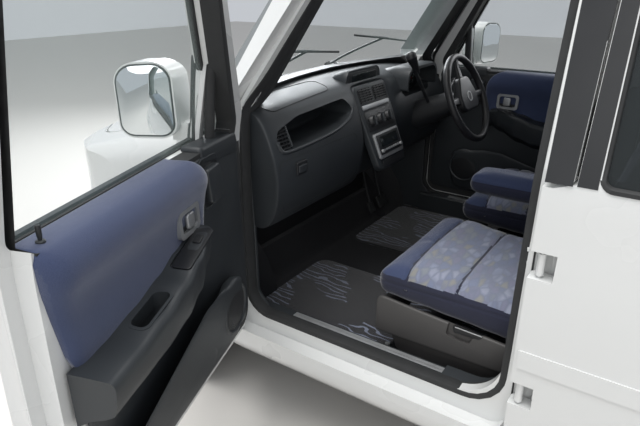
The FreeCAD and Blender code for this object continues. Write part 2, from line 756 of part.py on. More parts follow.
half_tyre = size("tyre_width") / 2
tread_radius = size("tyre_radius")
bead = size("bead_radius")
tyre_outline = both_sides([(0, bead, 0), (half_tyre - 11, bead, 0), (half_tyre - 11, bead + 8, 0),
                           (half_tyre - 2, bead + 24, 0), (half_tyre, 212, 0),
                           (half_tyre - 4, 238, 0), (half_tyre - 14, tread_radius - 4, 0),
                           (half_tyre - 30, tread_radius, 0), (0, tread_radius, 0)])
half_rim = size("rim_width") / 2
hub_bore = size("spindle_radius") + size("pin_play")
rim_outline = [
    (-half_rim, 162, 0),
    (-half_rim, 174, 3),
    (-half_rim + 5, 174, 0),
    (-half_rim + 5, bead - 1, 0),
    (-30, bead - 1, 0),
    (-20, 152, 0),
    (10, 152, 0),
    (20, bead - 1, 0),
    (half_rim - 5, bead - 1, 0),
    (half_rim - 5, 174, 0),
    (half_rim, 174, 3),
    (half_rim, 160, 0),
    (44, 148, 10),
    (46, 96, 20),
    (30, 70, 15),
    (34, 38, 8),
    (34, hub_bore, 0),
    (-6, hub_bore, 0),
    (-6, 50, 5),
    (22, 64, 10),
    (24, 80, 10),
    (36, 98, 10),
    (34, 140, 10),
    (14, 146, 0),
    (-24, 146, 0),
    (-34, 160, 0),
]
tyre_master = revolved("tyre_master", tyre_outline)
rim_master = revolved("rim_master", rim_outline)
vents = []
for index in range(10):
    angle = math.radians(36 * index)
    middle = Vec(0, 122 * math.cos(angle), 122 * math.sin(angle))
    vents.append(rod(13, middle, middle + Vec(80, 0, 0)))
rim_shape = rim_master.Shape.copy()
for vent in vents:
    rim_shape = rim_shape.cut(vent)

# Running gear
kingpin = size("kingpin_across")


def knuckle_shape():
    upright = block(kingpin - 24, kingpin + 6, front_axle_y - 24, front_axle_y + 24, axle_z - 90, axle_z + 90)
    spindle = rod(size("spindle_radius"), Vec(kingpin, front_axle_y, axle_z), Vec(wheel_x + 20, front_axle_y, axle_z))
    drum = rod(112, Vec(kingpin + 2, front_axle_y, axle_z), Vec(wheel_x - 24, front_axle_y, axle_z))
    steer_arm = block(kingpin - 24, kingpin - 4, front_axle_y + 20, front_axle_y + 110, axle_z - 60, axle_z - 40)
    whole = fused([upright, spindle, drum, steer_arm])
    hole = size("kingpin_radius") + size("pin_play")
    for low, high in ((axle_z - 95, axle_z - 50), (axle_z + 50, axle_z + 95)):
        whole = whole.cut(Part.makeCylinder(hole, high - low, Vec(kingpin - 9, front_axle_y, low)))
    return whole


knuckle = knuckle_shape()
pin_x = kingpin - 9
strut_x = 520
strut = fused([
    Part.makeCylinder(size("kingpin_radius"), 64, Vec(pin_x, front_axle_y, axle_z + 54)),
    block(strut_x - 22, pin_x + 12, front_axle_y - 16, front_axle_y + 16, axle_z + 118, axle_z + 132),
    Part.makeCylinder(22, 230, Vec(strut_x, front_axle_y, axle_z + 118)),
])
low_arm = fused([
    Part.makeCylinder(size("kingpin_radius"), 78, Vec(pin_x, front_axle_y, axle_z - 132)),
    Part.makeCylinder(18, 14, Vec(pin_x, front_axle_y, axle_z - 132)),
    prism([(pin_x + 10, front_axle_y - 12, 0), (pin_x + 10, front_axle_y + 12, 0), (330, front_axle_y + 90, 20),
           (330, front_axle_y - 50, 20)], "xy", axle_z - 132, axle_z - 118),
])
cross_member = fused([
    block(-345, 345, front_axle_y - 60, front_axle_y + 100, axle_z - 132, axle_z - 70),
    block(300, 345, front_axle_y - 40, front_axle_y + 80, axle_z - 70, axle_z + 70),
    block(-345, -300, front_axle_y - 40, front_axle_y + 80, axle_z - 70, axle_z + 70),
])
front_suspension = fused([strut, mirrored(strut), low_arm, mirrored(low_arm), cross_member])
axle_beam = rod(32, Vec(-530, rear_axle_y - 60, axle_z), Vec(530, rear_axle_y - 60, axle_z))
trailing = prism([(rear_axle_y - 420, 250, 12), (rear_axle_y - 420, 200, 12), (rear_axle_y + 30, axle_z - 40, 20),
                  (rear_axle_y + 30, axle_z + 30, 20), (rear_axle_y - 200, axle_z - 5, 0)], "yz", 500, 530)
arm_bracket = block(490, 540, rear_axle_y - 412, rear_axle_y - 380, 230, 262)
rear_spindle = fused([
    rod(size("spindle_radius"), Vec(520, rear_axle_y, axle_z), Vec(wheel_x + 20, rear_axle_y, axle_z)),
    rod(100, Vec(575, rear_axle_y, axle_z), Vec(wheel_x - 24, rear_axle_y, axle_z)),
    rod(19, Vec(500, rear_axle_y, axle_z), Vec(580, rear_axle_y, axle_z)),
])
rear_axle = fused([axle_beam, trailing, mirrored(trailing), arm_bracket, mirrored(arm_bracket)])
rear_axle = fused([rear_axle, rear_spindle, mirrored(rear_spindle)])

seals = [strip.cut(floor_pan).cut(Part.Compound(dashboard)) for strip in seals]
hinge_parts = barrel(front_hinge_y) + barrel(rear_hinge_y)
hinge_parts = [leaf.cut(body_side) for leaf in hinge_parts]


# Put each sub-part in the document

pieces = {}


def keep(label, shapes, place=None):
    shape = shapes if not isinstance(shapes, list) else Part.Compound(shapes)
    piece = doc.addObject("Part::Feature", label)
    piece.Label = label
    piece.Shape = shape
    if place is not None:
        piece.Placement = place
    pieces[label] = piece


upright_axis = Vec(0, 0, 1)
swing = FreeCAD.Placement(Vec(0, 0, 0), FreeCAD.Rotation(upright_axis, -size("door_open_angle")),
                          Vec(hinge_x, front_hinge_y, 0))

keep("body_side_left", body_side)
keep("body_side_right", mirrored(body_side))
keep("roof", roof)
keep("scuttle", scuttle)
keep("fenders", [fender, mirrored(fender)])
keep("front_bumper", front_bumper)
keep("grille", grille)
keep("rear_bumper", rear_bumper)
keep("headlamps", [headlamp, mirrored(headlamp)])
keep("tail_lamps", [tail_lamp, mirrored(tail_lamp)])
keep("windscreen", windscreen)
keep("quarter_windows", [quarter_glass, mirrored(quarter_glass)])
keep("floor_pan", floor_pan)
keep("front_frame", front_frame)
keep("dashboard", dashboard)
keep("centre_panel", centre_panel)
keep("steering_column", column)
keep("seat_cushions", [seat_cushion, mirrored(seat_cushion)])
keep("seat_backs", [seat_back, mirrored(seat_back)])
keep("headrests", [head_rest, mirrored(head_rest)])
keep("seat_bases", [seat_base, mirrored(seat_base)])
keep("armrest", armrest)
keep("rear_seat", rear_seat)
keep("door_seals", seals + [mirrored(strip) for strip in seals])
keep("door_hinges", hinge_parts + [mirrored(leaf) for leaf in hinge_parts])
engine = doc.addObject("Part::Box", "engine")
engine.Label = "engine"
engine.setExpression("Length", "Sizes.engine_width")
engine.setExpression("Width", "Sizes.engine_depth")
engine.setExpression("Height", "Sizes.engine_height")
engine.setExpression("Placement.Base.x", "-Sizes.engine_width / 2")
engine.setExpression("Placement.Base.y", "Sizes.engine_front")
engine.setExpression("Placement.Base.z", "Sizes.engine_base")
doc.recompute()
pieces["engine"] = engine
keep("front_suspension", front_suspension)
keep("rear_axle", rear_axle)
keep("front_door_left", front_door, swing)
keep("front_door_left_glass", front_glass, swing)
keep("front_door_left_trim", trim, swing)
keep("mirror_left", mirror, swing)
keep("front_door_right", mirrored(front_door))
keep("front_door_right_glass", mirrored(front_glass))
keep("front_door_right_trim", mirrored(trim))
keep("mirror_right", mirrored(mirror))
keep("rear_door_left", rear_door)
keep("rear_door_left_glass", rear_glass)
keep("rear_door_right", mirrored(rear_door))
keep("rear_door_right_glass", mirrored(rear_glass))
keep("bonnet", bonnet)
keep("tailgate", tailgate)
keep("tailgate_glass", tailgate_glass)
keep("steering_wheel", steering_wheel)
keep("knuckle_left", knuckle)
keep("knuckle_right", mirrored(knuckle))
for end, along in (("front", front_axle_y), ("rear", rear_axle_y)):
    for side, sign in (("left", 1), ("right", -1)):
        turn = FreeCAD.Rotation(upright_axis, 0 if sign > 0 else 180)
        place = FreeCAD.Placement(Vec(sign * wheel_x, along, axle_z), turn)
        keep("tyre_%s_%s" % (end, side), tyre_master.Shape.copy(), place)
        keep("rim_%s_%s" % (end, side), rim_shape, place)

doc.recompute()
for item in doc.Objects:
    if "Invalid" in item.State or "Error" in item.State:
        raise RuntimeError("failed object: " + item.Label)
bad = [label for label, piece in pieces.items()
       if piece.Shape.isNull() or not piece.Shape.isValid() or piece.Shape.Volume <= 0]
if bad:
    raise RuntimeError("bad shapes: " + ", ".join(bad))
os.makedirs("parts", exist_ok=True)
for label, piece in pieces.items():
    shape = piece.Shape
    print(label, len(shape.Solids), "solids", round(shape.Volume / 1e6, 2), "litres")
    shape.exportStep("parts/%s.step" % label)
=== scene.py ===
import json
import math

import bmesh
import bpy
from mathutils import Matrix, Vector
from mathutils.bvhtree import BVHTree


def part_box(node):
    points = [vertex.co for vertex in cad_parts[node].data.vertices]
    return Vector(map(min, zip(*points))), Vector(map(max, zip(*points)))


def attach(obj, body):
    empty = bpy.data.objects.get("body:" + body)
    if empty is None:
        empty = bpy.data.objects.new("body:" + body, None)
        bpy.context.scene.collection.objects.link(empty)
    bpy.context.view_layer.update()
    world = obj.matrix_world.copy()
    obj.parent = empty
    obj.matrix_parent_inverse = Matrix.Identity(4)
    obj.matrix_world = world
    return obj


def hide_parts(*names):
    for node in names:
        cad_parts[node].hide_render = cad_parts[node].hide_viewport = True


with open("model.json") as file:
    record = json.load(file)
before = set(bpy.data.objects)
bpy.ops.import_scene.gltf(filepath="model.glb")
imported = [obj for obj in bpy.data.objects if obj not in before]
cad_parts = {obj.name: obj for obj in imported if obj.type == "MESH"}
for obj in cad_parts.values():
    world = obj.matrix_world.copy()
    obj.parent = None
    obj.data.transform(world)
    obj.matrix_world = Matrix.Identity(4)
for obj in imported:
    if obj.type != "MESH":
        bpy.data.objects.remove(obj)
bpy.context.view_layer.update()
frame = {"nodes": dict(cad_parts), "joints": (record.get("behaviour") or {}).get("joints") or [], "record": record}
print("frame loaded", len(frame["nodes"]), "nodes")


# Shader maths as plain expressions on sockets

class Wire:
    def __init__(self, tree, socket):
        self.tree = tree
        self.socket = socket

    def node(self, kind, settings=None, **inputs):
        made = self.tree.nodes.new(kind)
        for key, value in (settings or {}).items():
            setattr(made, key, value)
        for key, value in inputs.items():
            slot = made.inputs[int(key[1:]) if key[1:].isdigit() else key.replace("_", " ")]
            if isinstance(value, Wire):
                self.tree.links.new(value.socket, slot)
            else:
                slot.default_value = value
        return made

    def maths(self, operation, other):
        made = self.node("ShaderNodeMath", {"operation": operation}, i0=self, i1=other, i2=0.0)
        return Wire(self.tree, made.outputs[0])

    def __add__(self, other):
        return self.maths("ADD", other)

    def __mul__(self, other):
        return self.maths("MULTIPLY", other)

    def above(self, level):
        return self.maths("GREATER_THAN", level)

    def clamp(self):
        made = self.node("ShaderNodeClamp", None, Value=self)
        return Wire(self.tree, made.outputs[0])


class Finish:
    # a material with its Principled shader, filled in step by step
    def __init__(self, name, colour, rough=0.5, metal=0.0, **sockets):
        self.material = bpy.data.materials.new(name)
        self.material.use_nodes = True
        self.tree = self.material.node_tree
        self.shader = self.tree.nodes["Principled BSDF"]
        sockets.update(Base_Color=(*colour, 1), Roughness=rough, Metallic=metal)
        for key, value in sockets.items():
            self.shader.inputs[key.replace("_", " ")].default_value = value
        self.start = Wire(self.tree, None)

    def place(self, scale=(1, 1, 1), turn=(0, 0, 0)):
        coords = self.start.node("ShaderNodeTexCoord")
        mapped = self.start.node("ShaderNodeMapping", None, Vector=Wire(self.tree, coords.outputs["Object"]),
                                 Scale=scale, Rotation=turn)
        return Wire(self.tree, mapped.outputs[0])

    def grain(self, scale, detail=3.0, where=None):
        made = self.start.node("ShaderNodeTexNoise", None, Vector=where or self.place(), Scale=scale,
                               Detail=detail, Roughness=0.5)
        return Wire(self.tree, made.outputs[0])

    def blend(self, mask, first, second):
        made = self.start.node("ShaderNodeMix", {"data_type": "RGBA"}, i0=mask)
        for slot, value in ((made.inputs[6], first), (made.inputs[7], second)):
            if isinstance(value, Wire):
                self.tree.links.new(value.socket, slot)
            else:
                slot.default_value = (*value, 1)
        return Wire(self.tree, made.outputs[2])

    def feed(self, name, wire):
        self.tree.links.new(wire.socket, self.shader.inputs[name])

    def bump(self, height, strength, distance):
        made = self.start.node("ShaderNodeBump", None, Height=height, Strength=strength, Distance=distance)
        self.feed("Normal", Wire(self.tree, made.outputs[0]))


def shade(colour, factor):
    return tuple(min(1.0, part * factor) for part in colour)


def paintFinish(name, colour):
    made = Finish(name, colour, rough=0.28, Coat_Weight=0.6, Coat_Roughness=0.06)
    dust = made.grain(2.2, 4)
    made.feed("Base Color", made.blend(dust, shade(colour, 0.95), shade(colour, 1.03)))
    made.feed("Roughness", dust * 0.14 + 0.2)
    return made.material


def plasticFinish(name, colour, rough=0.55, grainSize=900, depth=0.00025, vary=0.12):
    made = Finish(name, colour, rough=rough)
    fine = made.grain(grainSize, 2)
    broad = made.grain(9, 3)
    made.feed("Base Color", made.blend(broad, shade(colour, 1 - vary), shade(colour, 1 + vary)))
    made.feed("Roughness", broad * 0.16 + (rough - 0.08))
    made.bump(fine, 0.35, depth)
    return made.material


def rubberFinish(name, colour):
    made = Finish(name, colour, rough=0.75)
    made.feed("Base Color", made.blend(made.grain(30, 4), shade(colour, 0.8), shade(colour, 1.3)))
    made.bump(made.grain(400, 2), 0.3, 0.0004)
    return made.material


def clothFinish(name, colour, light, weave=700.0, sheen=0.5):
    made = Finish(name, colour, rough=0.9, Sheen_Weight=sheen, Sheen_Roughness=0.4)
    where = made.place()
    fine = made.grain(weave, 2, where)
    broad = made.grain(14, 3, where)
    tone = made.blend(fine, shade(colour, 0.7), light)
    made.feed("Base Color", made.blend(broad * 0.5, tone, shade(colour, 0.9)))
    made.bump(fine, 0.6, 0.0012)
    return made.material


def glassFinish(name, colour, clear, rough=0.02):
    # a pane that mixes see-through with a glossy skin
    made = Finish(name, colour, rough=rough, Specular_IOR_Level=0.6)
    smear = made.grain(3.0, 4)
    made.feed("Alpha", smear * 0.05 + (1 - clear))
    made.feed("Roughness", smear * 0.03 + rough)
    return made.material


def metalFinish(name, colour, rough=0.35, metal=0.9):
    made = Finish(name, colour, rough=rough, metal=metal)
    broad = made.grain(40, 4)
    made.feed("Base Color", made.blend(broad, shade(colour, 0.85), shade(colour, 1.1)))
    made.feed("Roughness", broad * 0.2 + (rough - 0.1))
    made.bump(made.grain(350, 2), 0.15, 0.0003)
    return made.material


def seatFinish(name, colours, ground):
    # a woven pattern of short brush strokes in a few quiet colours
    made = Finish(name, ground, rough=0.9, Sheen_Weight=0.5, Sheen_Roughness=0.4)
    where = made.place((23, 54, 40), (0, 0, 0.5))
    cells, edges = [made.start.node("ShaderNodeTexVoronoi", {"feature": feature}, Vector=where, Scale=1.0,
                                    Randomness=0.8) for feature in ("F1", "DISTANCE_TO_EDGE")]
    pick = made.start.node("ShaderNodeSeparateColor", None, Color=Wire(made.tree, cells.outputs["Color"]))
    ramp = made.start.node("ShaderNodeValToRGB", None, Fac=Wire(made.tree, pick.outputs[0]))
    ramp.color_ramp.interpolation = "CONSTANT"
    for index, colour in enumerate(colours):
        if index >= len(ramp.color_ramp.elements):
            ramp.color_ramp.elements.new(0.5)
    for index, (element, colour) in enumerate(zip(ramp.color_ramp.elements, colours)):
        element.position = index / len(colours)
        element.color = (*colour, 1)
    fine = made.grain(600, 2)
    inside = (Wire(made.tree, edges.outputs[0]) * 4.0).clamp()
    strokes = made.blend(inside * 0.75 + fine * 0.25, ground, Wire(made.tree, ramp.outputs[0]))
    made.feed("Base Color", made.blend(fine * 0.35, strokes, shade(ground, 0.7)))
    made.bump(fine, 0.6, 0.0012)
    return made.material


def matFinish(name, colour, light):
    # cut pile with curved brush strokes let into it
    made = Finish(name, colour, rough=0.95, Sheen_Weight=0.4)
    where = made.place()
    fine = made.grain(520, 2, where)
    wave = made.start.node("ShaderNodeTexWave", {"wave_type": "BANDS", "bands_direction": "DIAGONAL"},
                           Vector=made.place((14, 7, 7), (0, 0, 0.9)), Scale=1.3, Distortion=9.0, Detail=1.5,
                           Detail_Scale=1.2)
    strokes = Wire(made.tree, wave.outputs[1]).above(0.86)
    gate = made.grain(6.0, 1, where).above(0.5)
    tone = made.blend(fine, shade(colour, 0.6), shade(colour, 1.6))
    made.feed("Base Color", made.blend(strokes * gate * fine * 1.5, tone, light))
    made.bump(fine, 0.8, 0.003)
    return made.material


def mirrorFinish(name, colour):
    made = Finish(name, colour, rough=0.03, metal=1.0)
    made.feed("Roughness", made.grain(4, 3) * 0.03 + 0.01)
    return made.material


strokeColours = [(0.19, 0.22, 0.33), (0.28, 0.31, 0.43), (0.25, 0.27, 0.29), (0.29, 0.28, 0.24),
                 (0.34, 0.36, 0.46), (0.22, 0.22, 0.31)]
finishes = {
    "paint": paintFinish("whitePaint", (0.72, 0.73, 0.725)),
    "black_plastic": plasticFinish("blackPlastic", (0.014, 0.015, 0.017), 0.42),
    "trim_plastic": plasticFinish("trimPlastic", (0.027, 0.031, 0.035), 0.47),
    "silver_plastic": metalFinish("silverPlastic", (0.42, 0.43, 0.44), 0.4, 0.6),
    "skirt_plastic": plasticFinish("skirtPlastic", (0.07, 0.067, 0.066), 0.5),
    "seat_cloth": clothFinish("navyCloth", (0.030, 0.044, 0.105), (0.075, 0.10, 0.20)),
    "floor_carpet": clothFinish("floorCarpet", (0.010, 0.010, 0.012), (0.028, 0.028, 0.033), 420.0, 0.15),
    "seal_rubber": rubberFinish("sealRubber", (0.025, 0.026, 0.027)),
    "window_glass": glassFinish("windowGlass", (0.55, 0.68, 0.64), 0.88),
    "dark_glass": glassFinish("darkGlass", (0.02, 0.025, 0.026), 0.35),
    "lamp_glass": glassFinish("lampGlass", (0.8, 0.82, 0.84), 0.6),
    "lamp_red": plasticFinish("redLens", (0.35, 0.012, 0.012), 0.12, 200, 0.0001),
    "steel_frame": metalFinish("blackSteel", (0.035, 0.036, 0.038), 0.5, 0.4),
    "engine_metal": metalFinish("castMetal", (0.16, 0.16, 0.165), 0.55, 0.8),
    "tyre_rubber": rubberFinish("tyreRubber", (0.02, 0.02, 0.021)),
    "wheel_steel": metalFinish("wheelPaint", (0.5, 0.51, 0.52), 0.35, 0.7),
    "seat_pattern": seatFinish("seatPattern", strokeColours, (0.18, 0.20, 0.27)),
    "seat_side": clothFinish("darkSeatCloth", (0.014, 0.016, 0.036), (0.028, 0.032, 0.065)),
    # a darker copy of the navy seat cloth: painted shade on the seats' sideways, lower and rear faces, and also
    # the dark line in each sewn seam
    "wheel_leather": plasticFinish("wheelLeather", (0.02, 0.02, 0.022), 0.45, 380, 0.0006),
    "pillar_trim": plasticFinish("pillarTrimGrey", (0.19, 0.205, 0.21), 0.6),
    "mat_pile": matFinish("matPile", (0.018, 0.018, 0.022), (0.30, 0.34, 0.46)),
    "mirror_glass": mirrorFinish("mirrorGlass", (0.82, 0.86, 0.88)),
    "garnish": plasticFinish("garnish", (0.022, 0.023, 0.025), 0.32, 1200, 0.0001),
    "plate_white": plasticFinish("plateWhite", (0.72, 0.73, 0.72), 0.4),
    "amber_lens": plasticFinish("amberLens", (0.55, 0.16, 0.01), 0.12, 200, 0.0001),
    "reflector": metalFinish("reflector", (0.7, 0.71, 0.73), 0.16, 1.0),
    "lining_cloth": clothFinish("liningCloth", (0.24, 0.24, 0.235), (0.34, 0.34, 0.33), 500.0, 0.1),
}
slotOf = {part["node"]: part["material_slot"] for part in frame["record"]["subparts"]}
slotOf["door_hinges"] = "paint"     # the hinges are painted with the body
for nodeName, node in frame["nodes"].items():
    node.data.materials.clear()
    node.data.materials.append(finishes[slotOf[nodeName]])
print("finishes made", len(finishes))


# Camera, lamps and floor

def linked(name, data):
    made = bpy.data.objects.new(name, data)
    bpy.context.scene.collection.objects.link(made)
    return made


def aimed(name, data, place, gaze):
    made = linked(name, data)
    made.location = place
    made.rotation_mode = "QUATERNION"
    made.rotation_quaternion = Vector(gaze).to_track_quat("-Z", "Y")
    return made


view = {
    "place": (1.8396, 0.3551, 1.3633),
    "gaze": (-0.7647, -0.5175, -0.3840),
    "lens": 31.5,
    "film": 36.0,
    "near": 0.02,
    "sky": (0.9, 0.94, 1.0, 1),
    "skyStrength": 0.6,
    "floorReach": 14.0,
}
cameraData = bpy.data.cameras.new("viewCamera")
cameraData.lens = view["lens"]
cameraData.sensor_width = view["film"]
cameraData.clip_start = view["near"]
bpy.context.scene.camera = aimed("viewCamera", cameraData, view["place"], view["gaze"])
bpy.context.scene.view_settings.view_transform = "Standard"

lampTable = [  # name, place, target, width, watts, warmth
    ("skyLamp", (1.5, -0.5, 5.6), (0.2, -0.2, 0.5), 4.0, 310, (1.0, 0.99, 0.97)),
    ("doorLamp", (4.2, 1.2, 2.4), (0.2, -0.4, 0.7), 2.6, 34, (1.0, 0.98, 0.95)),
    ("noseLamp", (-2.5, -3.4, 2.9), (0.2, -0.8, 1.0), 2.4, 210, (0.93, 0.97, 1.0)),
    ("farLamp", (-4.5, 0.5, 3.0), (0, 0, 0.8), 3.0, 110, (0.97, 0.98, 1.0)),
]
for name, place, target, width, watts, warmth in lampTable:
    data = bpy.data.lights.new(name, "AREA")
    data.shape = "DISK"
    data.size = width
    data.energy = watts
    data.color = warmth
    aimed(name, data, place, Vector(target) - Vector(place))

world = bpy.data.worlds.new("studioWorld")
bpy.context.scene.world = world
world.use_nodes = True
world.node_tree.nodes["Background"].inputs[0].default_value = view["sky"]
world.node_tree.nodes["Background"].inputs[1].default_value = view["skyStrength"]

floorMesh = bpy.data.meshes.new("studioFloor")
floorCorners = [(x * view["floorReach"], y * view["floorReach"], 0)
    for x, y in ((-1, -1), (1, -1), (1, 1), (-1, 1))]
floorMesh.from_pydata(floorCorners, [], [(0, 1, 2, 3)])
floor = linked("studioFloor", floorMesh)
floorMesh.materials.append(Finish("floorFinish", (0.62, 0.6, 0.57), rough=0.8).material)
print("camera, lamps and floor set")


# Mesh helpers: outlines, plates, lofts, turned forms and bars

def oblong(left, right, low, high, radius=0.0):
    return [(left, low, radius), (left, high, radius), (right, high, radius), (right, low, radius)]


def trapeze(foot, head, low, high, radius=0.0, topRadius=None, middle=0.0):
    # a four-cornered outline from its half widths at the foot and at the head
    topRadius = radius if topRadius is None else topRadius
    return [(middle - foot, low, radius), (middle - head, high, topRadius), (middle + head, high, topRadius),
            (middle + foot, low, radius)]


def counter(corners):
    # the same outline from the same first corner, run the other way round
    return corners[:1] + corners[:0:-1]


def outline(corners, steps=6):
    points = []
    for index, (across, up, radius) in enumerate(corners):
        here = Vector((across, up))
        back = Vector(corners[index - 1][:2]) - here
        ahead = Vector(corners[(index + 1) % len(corners)][:2]) - here
        half = back.angle(ahead) / 2
        if radius <= 0 or half > 1.55:
            points.append(here)
            continue
        reach = min(radius / math.tan(half), 0.49 * min(back.length, ahead.length))
        bend = reach * math.tan(half)
        centre = here + (back.normalized() + ahead.normalized()).normalized() * (bend / math.sin(half))
        first = here + back.normalized() * reach - centre
        last = here + ahead.normalized() * reach - centre
        for step in range(steps + 1):
            points.append(centre + first.lerp(last, step / steps).normalized() * bend)
    return points


def spot(plane, across, up, level):
    if plane == "side":      # along the car, height, level across
        return Vector((level, across, up))
    if plane == "front":     # across, height, level along
        return Vector((across, level, up))
    return Vector((across, up, level))


def clamped(value):
    return max(0.0, min(1.0, value))


def bell(distance, width):
    return math.exp(-(distance / width) ** 2)


def meshOf(piece):
    return bpy.data.meshes.new_from_object(piece.evaluated_get(bpy.context.evaluated_depsgraph_get()))


def dropped(piece):
    old = piece.data
    bpy.data.objects.remove(piece)
    bpy.data.meshes.remove(old)


def pieceFrom(name, form, materials):
    made = bpy.data.meshes.new(name)
    form.to_mesh(made)
    form.free()
    for material in materials:
        made.materials.append(material)
    return linked(name, made)


def finished(name, form, finish, crease=38):
    bmesh.ops.remove_doubles(form, verts=form.verts, dist=0.00002)
    bmesh.ops.recalc_face_normals(form, faces=form.faces)
    piece = pieceFrom(name, form, [finishes[finish]])
    piece.data.polygons.foreach_set("use_smooth", [True] * len(piece.data.polygons))
    piece.data.set_sharp_from_angle(angle=math.radians(crease))
    return piece


def stitched(form, rows, closed=True, ring=False):
    # faces between rows of points: closed joins the ends of each row, ring joins the last row to the first
    count = len(rows[0])
    for first, second in list(zip(rows, rows[1:])) + [(rows[-1], rows[0])] * ring:
        for index in range(count if closed else count - 1):
            after = (index + 1) % count
            form.faces.new((first[index], first[after], second[after], second[index]))


def plate(name, finish, plane, corners, low, high, edge=0.002, steps=6, rounds=3):
    form = bmesh.new()
    base = form.faces.new([form.verts.new(spot(plane, *point, low)) for point in outline(corners, steps)])
    top = bmesh.ops.extrude_face_region(form, geom=[base])
    moved = [item for item in top["geom"] if isinstance(item, bmesh.types.BMVert)]
    bmesh.ops.translate(form, verts=moved, vec=spot(plane, 0, 0, high) - spot(plane, 0, 0, low))
    if edge:
        rims = [e for e in form.edges
            if len(e.link_faces) == 2 and any(len(f.verts) > 4 for f in e.link_faces)]
        bmesh.ops.bevel(form, geom=rims, offset=edge, segments=rounds, profile=0.5, affect="EDGES",
                        clamp_overlap=True)
    return finished(name, form, finish)


def block(name, finish, low, high, edge, rounds=4):
    form = bmesh.new()
    bmesh.ops.create_cube(form, size=1)
    for vertex in form.verts:
        vertex.co = Vector([a + (b - a) * (part + 0.5) for a, b, part in zip(low, high, vertex.co)])
    if edge:
        bmesh.ops.bevel(form, geom=form.edges[:], offset=edge, segments=rounds, profile=0.6, affect="EDGES")
    return finished(name, form, finish)


def loft(name, finish, rings, soft=0):
    form = bmesh.new()
    rows = [[form.verts.new(point) for point in ring] for ring in rings]
    stitched(form, rows)
    form.faces.new(rows[0])
    form.faces.new(rows[-1])
    piece = finished(name, form, finish)
    if soft:
        settle(piece, "SUBSURF", levels=soft, render_levels=soft)
    return piece


def settle(piece, kind, **settings):
    # puts a modifier on a piece and makes its result the piece's own mesh
    modifier = piece.modifiers.new(kind.lower(), kind)
    for key, value in settings.items():
        setattr(modifier, key, value)
    made = meshOf(piece)
    old = piece.data
    piece.modifiers.clear()
    piece.data = made
    bpy.data.meshes.remove(old)
    made.name = piece.name
    return piece


def turned(name, finish, profile, centre, axis=(0, 0, 1), steps=48, crease=38):
    # profile: (radius, distance along the axis) points; it is a closed ring when it ends where it starts
    form = bmesh.new()
    axis = Vector(axis).normalized()
    side = axis.orthogonal().normalized()
    other = axis.cross(side)
    rows = []
    for step in range(steps):
        turn = step * math.tau / steps
        arm = side * math.cos(turn) + other * math.sin(turn)
        rows.append([form.verts.new(Vector(centre) + axis * along + arm * radius)
            for radius, along in profile])
    stitched(form, rows, closed=False, ring=True)
    if profile[0] != profile[-1]:
        for end in (0, -1):
            if profile[end][0] > 1e-6:
                form.faces.new([row[end] for row in rows])
        bmesh.ops.remove_doubles(form, verts=form.verts, dist=0.00002)
        bmesh.ops.dissolve_degenerate(form, edges=form.edges, dist=0.00001)
    return finished(name, form, finish, crease)


def bar(name, finish, points, radius, closed=False, order=4):
    line = bpy.data.curves.new(name, "CURVE")
    line.dimensions = "3D"
    line.bevel_depth = radius
    line.bevel_resolution = 3
    line.resolution_u = 8
    line.use_fill_caps = True
    path = line.splines.new("NURBS")
    path.points.add(len(points) - 1)
    for point, place in zip(path.points, points):
        point.co = (*place, 1)
    path.use_cyclic_u = closed
    path.use_endpoint_u = not closed
    path.order_u = min(order, len(points))
    carrier = linked(name, line)
    made = meshOf(carrier)
    bpy.data.objects.remove(carrier)
    form = bmesh.new()
    form.from_mesh(made)
    bpy.data.meshes.remove(made)
    return finished(name, form, finish, 50)


def joined(name, pieces):
    # one piece from several, each keeping its own material
    form = bmesh.new()
    materials = []
    for piece in pieces:
        start = len(form.faces)
        form.from_mesh(piece.data)
        form.faces.ensure_lookup_table()
        offsets = []
        for material in piece.data.materials:
            if material not in materials:
                materials.append(material)
            offsets.append(materials.index(material))
        for face in form.faces[start:]:
            face.material_index = offsets[face.material_index]
        dropped(piece)
    return pieceFrom(name, form, materials)


def carved(piece, *tools):
    # takes closed tool pieces out of a piece
    for tool in tools:
        settle(piece, "BOOLEAN", operation="DIFFERENCE", solver="EXACT", object=tool)
        dropped(tool)
    piece.data.set_sharp_from_angle(angle=math.radians(35))
    return piece


def mirrored(piece, name):
    form = bmesh.new()
    form.from_mesh(piece.data)
    bmesh.ops.transform(form, matrix=Matrix.Scale(-1, 4, (1, 0, 0)), verts=form.verts)
    bmesh.ops.reverse_faces(form, faces=form.faces)
    return pieceFrom(name, form, list(piece.data.materials))


def crossed(piece):
    # moves a piece made on the right side over to the left
    piece.data.transform(Matrix.Scale(-1, 4, (1, 0, 0)))
    piece.data.flip_normals()
    return piece


def grown(points, distance):
    # an outline moved outwards by a distance, its corners kept
    area = sum(a.x * b.y - b.x * a.y for a, b in zip(points, points[1:] + points[:1]))
    turn = 1 if area > 0 else -1
    result = []
    for index, point in enumerate(points):
        before = (point - points[index - 1]).normalized()
        after = (points[(index + 1) % len(points)] - point).normalized()
        along = (before + after).normalized()
        result.append(point + Vector((along.y, -along.x)) * distance * turn)
    return result


def evened(points, gap):
    # the same closed line with a point about every gap
    result = []
    for point, after in zip(points, points[1:] + points[:1]):
        steps = max(1, int((after - point).length / gap))
        result += [point.lerp(after, step / steps) for step in range(steps)]
    return result


def treeOf(piece):
    return BVHTree.FromObject(piece, bpy.context.evaluated_depsgraph_get())


def surfaceAcross(node, side):
    # gives how far out a body panel lies at a place along and up the car, seen from its side
    tree = treeOf(frame["nodes"][node])
    clear = 1.2     # a place across that is outside the car

    def measure(along, up):
        hit = tree.ray_cast(Vector((side * clear, along, up)), Vector((-side, 0, 0)))
        return abs(hit[0].x) if hit[0] else None

    return measure


def surfaceAlong(node, facing):
    # the same for a panel seen from in front or from behind
    tree = treeOf(frame["nodes"][node])
    clear = 3.0

    def measure(across, up):
        hit = tree.ray_cast(Vector((across, facing * clear, up)), Vector((0, -facing, 0)))
        return hit[0].y if hit[0] else None

    return measure


